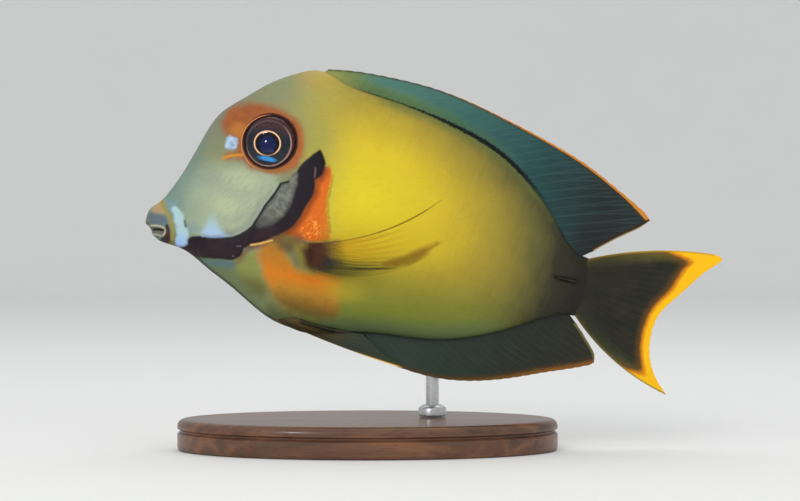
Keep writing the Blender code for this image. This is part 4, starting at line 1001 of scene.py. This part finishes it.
def makeEyes():
    orbit = {
        "turns": 144, "steps": 22, "depth": 0.9, "rings": 42,
        "profile": (  # radius, and height over the flank
            5.30, -0.75, 5.48, -0.25, 5.62, 0.10, 5.80, 0.30, 6.05, 0.40, 6.35, 0.38, 6.7, 0.30, 7.1, 0.18, 7.5, 0.02,
            7.8, -0.14),
    }
    count, rings = orbit["turns"], orbit["rings"]
    angles = np.linspace(0, 2 * np.pi, count, endpoint=False)
    for side, word in sides:
        # the ball is rings from its middle outwards, closed behind
        radii = np.concatenate([np.linspace(0.12, 1, rings), [0.995, 0.9, 0.6, 0.2]]) * eye["radius"]
        front = np.where(np.arange(len(radii)) < rings, 1, -1)[:, None]
        a, r = np.meshgrid(angles, radii)
        x, z = r * np.cos(a), r * np.sin(a)
        bulge = np.sqrt(np.clip(1 - (r / eye["radius"]) ** 2, 0, 1)) * front
        inner = np.hypot(x - eye["ringX"], (z - eye["ringZ"]) / eye["ringHigh"])
        raised = 0.08 * bell(inner - eye["ringRadius"], 0.22) - 0.10 * bell(inner - 3.7, 0.5)
        raised += 0.06 * smoothstep(2.5, 0.5, inner)
        y = eye["y"] + eye["depth"] * bulge + eye["leanX"] * x + eye["leanZ"] * z
        y = y + np.where(front > 0, raised * smoothstep(5.8, 5.2, r), 0)
        points = np.stack([x + eye["x"], side * y, z + eye["z"]], axis=-1).reshape(-1, 3)
        faces = gridFaces(len(radii), count, wrap=True, capped=True)
        mount(meshPiece(f"eyeBall_{word}", points, faces, "eyeBall", {"eyeX": x, "eyeZ": z}), "eye", f"eye_{word}")

        # the fold of skin round it
        profile = curveThrough(orbit["profile"])(np.linspace(0, 1, orbit["steps"]))
        a, r = np.meshgrid(angles, profile[:, 0])
        x, z = eye["x"] + r * np.cos(a), eye["z"] + r * np.sin(a)
        wave = 1 + 0.10 * np.sin(3 * a + 0.6) + 0.06 * np.sin(7 * a)
        y = flank(x, z) + np.where(profile[:, 1:] > 0, profile[:, 1:] * wave, profile[:, 1:])
        shell = np.concatenate([np.stack([x, y, z], -1), np.stack([x, y - orbit["depth"], z], -1)[::-1]])
        points = (shell * (1, side, 1)).reshape(-1, 3)
        last = (len(shell) - 1) * count
        faces = gridFaces(len(shell), count, wrap=True)
        faces += [[last + j, last + (j + 1) % count, (j + 1) % count, j] for j in range(count)]
        mount(meshPiece(f"eyeFold_{word}", points, faces, "fishSkin", skinZones(*points.T[::2])), "head_skin")


def rimmed(count):
    # shares from 0 to 1 with closer steps beside both ends, which round a fin's rim
    near = np.array([0.002, 0.006, 0.012])
    return np.unique(np.concatenate([np.linspace(0, 1, count), near, 1 - near]))


def rayColumns(last, perRay):
    near = np.array([0.02, 0.05, 0.10, 0.18])
    return np.unique(np.concatenate([np.linspace(0, last, last * perRay + 1), near, last - near]))


def bowedOut(root, tip, bow):
    run = tip - root
    side = np.stack([-run[:, 1], run[:, 0]], axis=-1) / np.linalg.norm(run, axis=1, keepdims=True)
    return (root + tip) / 2 + 2 * bow[:, None] * side


def drawnIn(tip, towards, reach):
    # moves the tips by reach towards other points
    run = towards - tip
    return tip + run / np.linalg.norm(run, axis=1, keepdims=True) * reach[:, None]


def betweenRays(ray):
    return 1 - np.abs(np.cos(np.pi * ray))  # 0 on a ray and 1 halfway to the next


def arched(t, root, bow, tip):
    return (1 - t) ** 2 * root + 2 * t * (1 - t) * bow + t**2 * tip


def makeFin(name, look, ray, steps, root, bow, tip, half, lie, ribs, measures):
    # the middle sheet of a fin, from the curve of each of its columns; finRibs gives it its body.
    # The ribs are the number of spines, and the heights of a spine's rib and of a ray's. Each of the
    # measures is the distance to the nearest of some lines.
    t, rimWidth = rimmed(steps), 0.16
    middle = arched(t[None, :, None], root[:, None], bow[:, None], tip[:, None])
    x, z = middle[..., 0], middle[..., 1]
    rays, along = np.broadcast_to(ray[:, None], x.shape), np.broadcast_to(t, x.shape)
    length = np.linalg.norm(tip - root, axis=1)[:, None]
    pitch = np.linalg.norm(np.gradient(middle, ray, axis=0), axis=-1)
    toRim = np.minimum.reduce([along * length, (1 - along) * length, pitch * rays, pitch * (ray[-1] - rays)])
    inner = np.sqrt(1 - (1 - np.clip(toRim / rimWidth, 0, 1)) ** 2)
    values = {"ray": rays, "along": along, "inner": inner, "half": half(x, z, rays, along)}
    for key, lines in measures.items():
        values[key] = np.minimum.reduce([toLine(x, z, line) for line in lines])
    points = np.stack([x, lie(x, z, rays, along), z], axis=-1).reshape(-1, 3)
    sizes = dict(zip(("Spines", "Spine Height", "Ray Height"), ribs))
    return grow(meshPiece(name, points, gridFaces(len(ray), len(t)), look, values), "finRibs", look, sizes)


dorsal = {
    "root": (31.9, 97.8), "rays": 35, "rearRays": 4, "sweep": 1.05, "up": True,
    "edge": (
        33.3, 36.1, 36.6, 36.67, 42, 37.17, 50, 37.27, 58, 36.88, 68, 35.2, 78, 32.7, 88, 29.8, 95, 27.3, 104, 22.9,
        110, 19.6, 112.4, 18),
    "rear": (112.4, 18, 110, 15.7, 106, 12.7, 102.8, 10.1, 100.9, 8.5),
    "ribs": (8, 0.08, 0.035),
}
anal = {
    "root": (49.5, 97.8), "rays": 28, "rearRays": 4, "sweep": 0.75, "up": False,
    "edge": (
        51.2, -23.6, 58, -25.7, 66, -27, 73, -27.2, 80, -26.2, 88, -23.9, 96, -20.8, 102.5, -18.4, 106.6, -16.6),
    "rear": (106.6, -16.6, 105.6, -14.2, 103.8, -12.1, 102, -10.2, 100.3, -8.7),
    "ribs": (3, 0.10, 0.04),
}


def makeKeelFin(name, spec, replaced):
    sign, last = 1 if spec["up"] else -1, spec["rays"] - 1
    corner = last - spec["rearRays"]
    ray = rayColumns(last, 12)
    share = ray / last
    places = np.linspace(*spec["root"], 200)
    heights = section(places)[0 if spec["up"] else 1]
    run = np.concatenate([[0], np.cumsum(np.hypot(np.diff(places), np.diff(heights)))])
    x = np.interp(share * run[-1], run, places)
    slope = np.interp(x + 0.5, places, heights) - np.interp(x - 0.5, places, heights)
    away = np.stack([-slope, np.ones_like(slope)], axis=-1) * sign / np.hypot(slope, 1)[:, None]
    keel = np.stack([x, np.interp(x, places, heights)], axis=-1)
    edge, rear = curveThrough(spec["edge"]), curveThrough(spec["rear"])
    tip = np.where(
        (ray <= corner)[:, None], edge(np.minimum(ray / corner, 1) ** spec["sweep"]),
        rear(np.maximum(ray - corner, 0) / spec["rearRays"]))
    reach = 0.06 + 0.14 * betweenRays(ray) + 0.45 * bell(ray - corner, 0.35)
    tip = drawnIn(tip, keel, reach * np.minimum(1, ray))
    root = keel - away * 0.7
    bow = bowedOut(root, tip, sign * 0.6 * np.sin(np.pi * share))
    base = np.stack([places, heights], -1)

    def half(px, pz, rays, along):
        return 0.34 - 0.20 * smoothstep(0, 1, along) + 0.22 * bell(toLine(px, pz, base), 0.9)

    def lie(px, pz, rays, along):
        return 0.12 * np.sin(px * 0.45) * along**2

    measures = {"rim": [edge(np.linspace(0, 1, 90))], "rear": [rear(np.linspace(0, 1, 30))], "base": [base]}
    mount(makeFin(name, name, ray, 42, root, bow, tip, half, lie, spec["ribs"], measures), "median_fin", replaced)


def makeTailFin():
    tail = {
        "rear": (
            128.3, 13.45, 130.1, 12.7, 128.8, 10.9, 126.7, 8.8, 122.2, 2.7, 118.3, -3.2, 117.7, -7.3, 118.1, -11.4,
            120, -15.9, 124.1, -20.4),
        "top": 6.2, "bottom": -6.7, "rootX": 99.4, "bulge": 2.2, "bulgeTop": 1.55, "rays": 20, "roundTip": 0.2,
        "ribs": (1, 0.10, 0.05),
    }
    rear, last = curveThrough(tail["rear"]), tail["rays"] - 1
    ray = rayColumns(last, 14)
    share = ray / last
    rootZ = tail["top"] + (tail["bottom"] - tail["top"]) * share
    root = np.stack([np.full_like(share, tail["rootX"]), rootZ], axis=-1)
    reach = 0.02 + 0.12 * betweenRays(ray) + tail["roundTip"] * (bell(ray, 0.22) + bell(ray - last, 0.22))
    tip = drawnIn(rear(share), root, reach)
    bow = bowedOut(root, tip, np.interp(share, (0, 0.5, 1), (tail["bulgeTop"], 0, -tail["bulge"])) * 0.9)

    def half(px, pz, rays, along):
        outer = smoothstep(-0.02, 0.10, np.minimum(rays, last - rays) / last)
        return (0.16 + 0.95 * (1 - along) ** 2.2) * (0.65 + 0.35 * outer)

    def lie(px, pz, rays, along):
        return 0.18 * np.sin(pz * 0.55) * along**2

    t = np.linspace(0, 1, 50)[:, None]
    outline = [arched(t, root[k], bow[k], tip[k]) for k in (0, -1)]
    measures = {"rim": [rear(np.linspace(0, 1, 90))], "side": outline}
    fin = makeFin("tailFin", "tailFin", ray, 54, root, bow, tip, half, lie, tail["ribs"], measures)
    mount(fin, "tail_fin", "tail_fin_upper_lobe", "tail_fin_lower_lobe")


pectoral = {
    "root": (36.6, -3, 38.8, -8.6), "rays": 15, "perRay": 12, "steps": 42, "scallop": 0.12, "bow": -2.8, "unbow": 1.5,
    "tips": (64.2, 12.2, 66.6, 8.8, 67.4, 5.4, 66.8, 2.2, 63.4, -1.4, 58.2, -4.9, 50.8, -7.9), "sunk": 1.2,
    "lines": {
        "smudge": [(54.8, -4.3, 57.7, -3.2, 60.2, -1.9, 62.9, 0.2, 65.5, 2.7)],
        "lowLine": [(41.5, -7.7, 44.4, -7.4, 47.7, -6.9, 52, -6, 56.3, -5, 59.2, -3.8)],
    },
    "spread": {"left": 20, "right": 17},  # degrees from the flank
    "ribs": (1, 0.14, 0.09),
}
pelvic = {
    "root": (34.6, -21.9, 38, -20.4), "rays": 6, "perRay": 16, "steps": 40, "scallop": 0.08, "bow": -0.5, "unbow": 0,
    "tips": (64, -26.5, 60.2, -24.9, 56.2, -22.6, 53.2, -20.8), "sunk": 0.8, "lines": {},
    "ribs": (1, 0.12, 0.09),
}


def makePairedFin(kind, word, spec, half, lie):
    last = spec["rays"] - 1
    ray = rayColumns(last, spec["perRay"])
    share = ray / last
    first, second = np.reshape(spec["root"], (2, 2))
    start = first + (second - first) * share[:, None]
    tip = drawnIn(curveThrough(spec["tips"])(share), start, spec["scallop"] + 0.25 * betweenRays(ray))
    bow = bowedOut(start, tip, spec["bow"] + spec["unbow"] * share)
    root = drawnIn(start, tip, np.full_like(share, -spec["sunk"]))
    return makeFin(f"{kind}_{word}", kind, ray, spec["steps"], root, bow, tip, half, lie, spec["ribs"], spec["lines"])


def makePairedFins():
    top, bottom = np.reshape(pectoral["root"], (2, 2))
    for side, word in sides:
        slant = math.tan(math.radians(pectoral["spread"][word]))

        def lie(px, pz, rays, along):
            k = rays / (pectoral["rays"] - 1)
            rootX, rootZ = top[0] + (bottom[0] - top[0]) * k, top[1] + (bottom[1] - top[1]) * k
            away = (px - rootX) * slant * (0.75 + 0.25 * along) - 1.2 * along**2
            away += 1.3 * np.sin(np.pi * along) * (0.5 - k)  # cupped across the rays
            return side * (flank(rootX, rootZ) + 1.05 + away - 0.5 * smoothstep(0.08, 0, along))

        def half(px, pz, rays, along):
            return 0.07 + 0.45 * (1 - along) ** 3

        mount(makePairedFin("pectoralFin", word, pectoral, half, lie), "paired_fin", f"pectoral_fin_{word}")

        def liePelvic(px, pz, rays, along):
            beside = np.maximum(flank(px, pz) + 0.92, 1.75 + 0.25 * rays / (pelvic["rays"] - 1))
            return side * (beside - 0.55 * smoothstep(0.12, 0, along))

        def halfPelvic(px, pz, rays, along):
            return 0.12 + 0.30 * (1 - along) ** 2 + 0.16 * bell(rays, 0.3) * (1 - 0.6 * along)

        mount(makePairedFin("pelvicFin", word, pelvic, halfPelvic, liePelvic), "pelvic_fin", f"pelvic_fin_{word}")


def makeScalpels():
    blade = {"tip": 92.8, "hinge": 98.4, "height": 0.7, "thick": 0.42, "high": 0.45, "steps": 40, "corners": 28}
    share = np.linspace(0, 1, blade["steps"])[:, None]
    fat = np.sin(np.pi * np.clip(0.02 + 0.86 * share, 0, 1)) ** 0.75
    x = blade["tip"] + (blade["hinge"] - blade["tip"]) * share
    turn = np.linspace(0, 2 * np.pi, blade["corners"], endpoint=False)
    ridge = np.cos(turn) * (1 + 0.25 * np.cos(turn) ** 8)
    y = flank(x, np.full_like(x, blade["height"])) - 0.12 + blade["thick"] * fat * ridge
    z = blade["height"] + blade["high"] * fat * np.sin(turn) * (0.75 + 0.25 * share)
    faces = gridFaces(*y.shape, wrap=True, capped=True)
    for side, word in sides:
        points = np.stack([np.broadcast_to(x, y.shape), side * y, z], axis=-1).reshape(-1, 3)
        mount(meshPiece(f"scalpel_{word}", points, faces, "scalpel"), "spine", f"tail_spine_{word}")


def turned(name, look, profile, sizes, closed=False):
    # a profile of inset, share and height, which turnedForm leads round
    count = len(profile)
    edges = [(k, k + 1) for k in range(count - 1)] + ([(count - 1, 0)] if closed else [])
    mesh = bpy.data.meshes.new(name)
    mesh.from_pydata([(0, 0.01 * math.cos(k), 0.01 * math.sin(k)) for k in range(count)], edges, [])
    setValues(mesh, dict(zip(("inset", "share", "height"), zip(*profile))))
    piece = grow(addObject(name, mesh), "turnedForm", look, sizes)
    piece.data.set_sharp_from_angle(angle=math.radians(40))
    return piece


def makeStand():
    base = {"length": 86.0, "width": 54.0, "thick": 7, "round": 1.6}
    high, soft = base["thick"], base["round"]
    arc = [(soft - soft * math.sin(a), 1, high - soft + soft * math.cos(a)) for a in np.linspace(0, math.pi / 2, 9)]
    groove = [(0, 1, 4.9), (0.25, 1, 4.72), (0.62, 1, 4.5), (0.66, 1, 4.2), (0.25, 1, 3.98), (0, 1, 3.7)]
    foot = [(0, 1, 0.8), (0.25, 1, 0.25), (0.7, 1, 0), (4, 1, 0), (4, 0, 0)]
    sizes = {"Half Length": base["length"] / 2, "Half Width": base["width"] / 2, "Segments": 144}
    profile = [(4, 0, high), (4, 1, high), *arc, *groove, *foot]
    mount(turned("standBase", "baseWood", profile, sizes), "base_wood", "stand_base")

    rod = {"radius": 1.5, "x": 69, "side": 3.4, "foot": 7.3, "intoBelly": 1.6}
    contact = toWorld([(rod["x"], rod["side"], float(section(np.array(rod["x"]))[1]))])[0] * 1000
    low, top = rod["foot"], contact[2] + rod["intoBelly"]
    profile = [(0, 0, low), (0, 1, low), (0, 1, top - 0.3), (0.3, 1, top), (0.3, 0, top)]
    sizes = {"Centre X": float(contact[0]), "Centre Y": float(contact[1])}
    sizes.update({"Half Length": rod["radius"], "Half Width": rod["radius"]})
    mount(turned("standRod", "rodSteel", profile, sizes), "rod_steel", "stand_rod")

    collar = {"radius": 3.2, "high": 2.6, "bore": 1.55}
    wall, top = collar["radius"] - collar["bore"], low + collar["high"]
    profile = [
        (wall, 1, low), (0.25, 1, low), (0, 1, low + 0.25), (0, 1, top - 0.9), (0.15, 1, top - 0.6),
        (0.7, 1, top - 0.3), (1.1, 1, top), (wall, 1, top),
    ]
    sizes.update({"Half Length": collar["radius"], "Half Width": collar["radius"]})
    mount(turned("standCollar", "rodSteel", profile, sizes, closed=True), "rod_steel", "stand_collar")


makeSkin()
makeEyes()
print("skin and eyes made")
makeKeelFin("dorsalFin", dorsal, "dorsal_fin")
makeKeelFin("analFin", anal, "anal_fin")
makeTailFin()
makePairedFins()
makeScalpels()
print("fins and scalpels made")
makeStand()
print("stand made")


def makeStudio():
    sweep = {"radius": 1.6, "curve": 0.55, "wall": 1.3, "segments": 96, "below": 0.00005}
    radius, curve, count = sweep["radius"], sweep["curve"], sweep["segments"]
    bend = [(radius + curve * math.sin(a), curve * (1 - math.cos(a))) for a in np.linspace(0, math.pi / 2, 14)]
    profile = np.array([(0.001, 0), (0.4, 0), (1, 0), *bend, (radius + curve, sweep["wall"])])
    turn = np.linspace(0, 2 * np.pi, count, endpoint=False)
    x, y = profile[:, :1] * np.cos(turn), profile[:, :1] * np.sin(turn)
    z = np.broadcast_to(profile[:, 1:], x.shape) - sweep["below"]
    mesh = bpy.data.meshes.new("studioSweep")
    faces = gridFaces(len(profile), count, wrap=True) + [list(range(count))]
    mesh.from_pydata(np.stack([x, y, z], axis=-1).reshape(-1, 3).tolist(), [], faces)
    mesh.shade_smooth()
    mesh.materials.append(bpy.data.materials["studioPaper"])
    addObject("studioSweep", mesh)

    world = bpy.data.worlds.new("studioWorld")
    world.use_nodes = True
    for socket, value in zip(world.node_tree.nodes["Background"].inputs, ((0.95, 0.97, 1, 1), 0.80)):
        socket.default_value = value
    scene.world = world
    lamps = {  # place, size, power, tint, whether it shines on matt surfaces and shows in glossy ones
        "keyLight": ((-0.20, -0.80, 0.50), 0.5, 3.4, (1, 0.98, 0.94), True, False),
        "fillLight": ((0.60, -0.75, 0.10), 0.6, 1, (0.97, 0.98, 1), True, False),
        "topLight": ((0.05, 0.25, 0.75), 0.5, 0.9, (1, 1, 1), True, True),
        "glintLight": ((-0.26, -0.42, 0.227), 0.03, 0.5, (1, 1, 1), False, True),
    }
    for name, (place, size, power, tint, onMatt, inGloss) in lamps.items():
        data = bpy.data.lights.new(name, "AREA")
        data.size, data.energy, data.color = size, power, tint
        lamp = addObject(name, data)
        lamp.location = place
        lamp.rotation_euler = (Vector((0, 0, 0.05)) - Vector(place)).to_track_quat("-Z", "Y").to_euler()
        lamp.visible_diffuse, lamp.visible_glossy = onMatt, inGloss


def makeCamera():
    data = bpy.data.cameras.new("photoCamera")
    data.lens, data.sensor_width, data.clip_start, data.clip_end = 100, 36, 0.02, 10
    camera = addObject("photoCamera", data)
    camera.location = (0.00734, -0.503, 0.045)
    camera.rotation_euler = (math.radians(90), 0, 0)
    scene.camera = camera


makeStudio()
makeCamera()
scene.view_settings.view_transform = "Standard"
print("studio and camera ready")
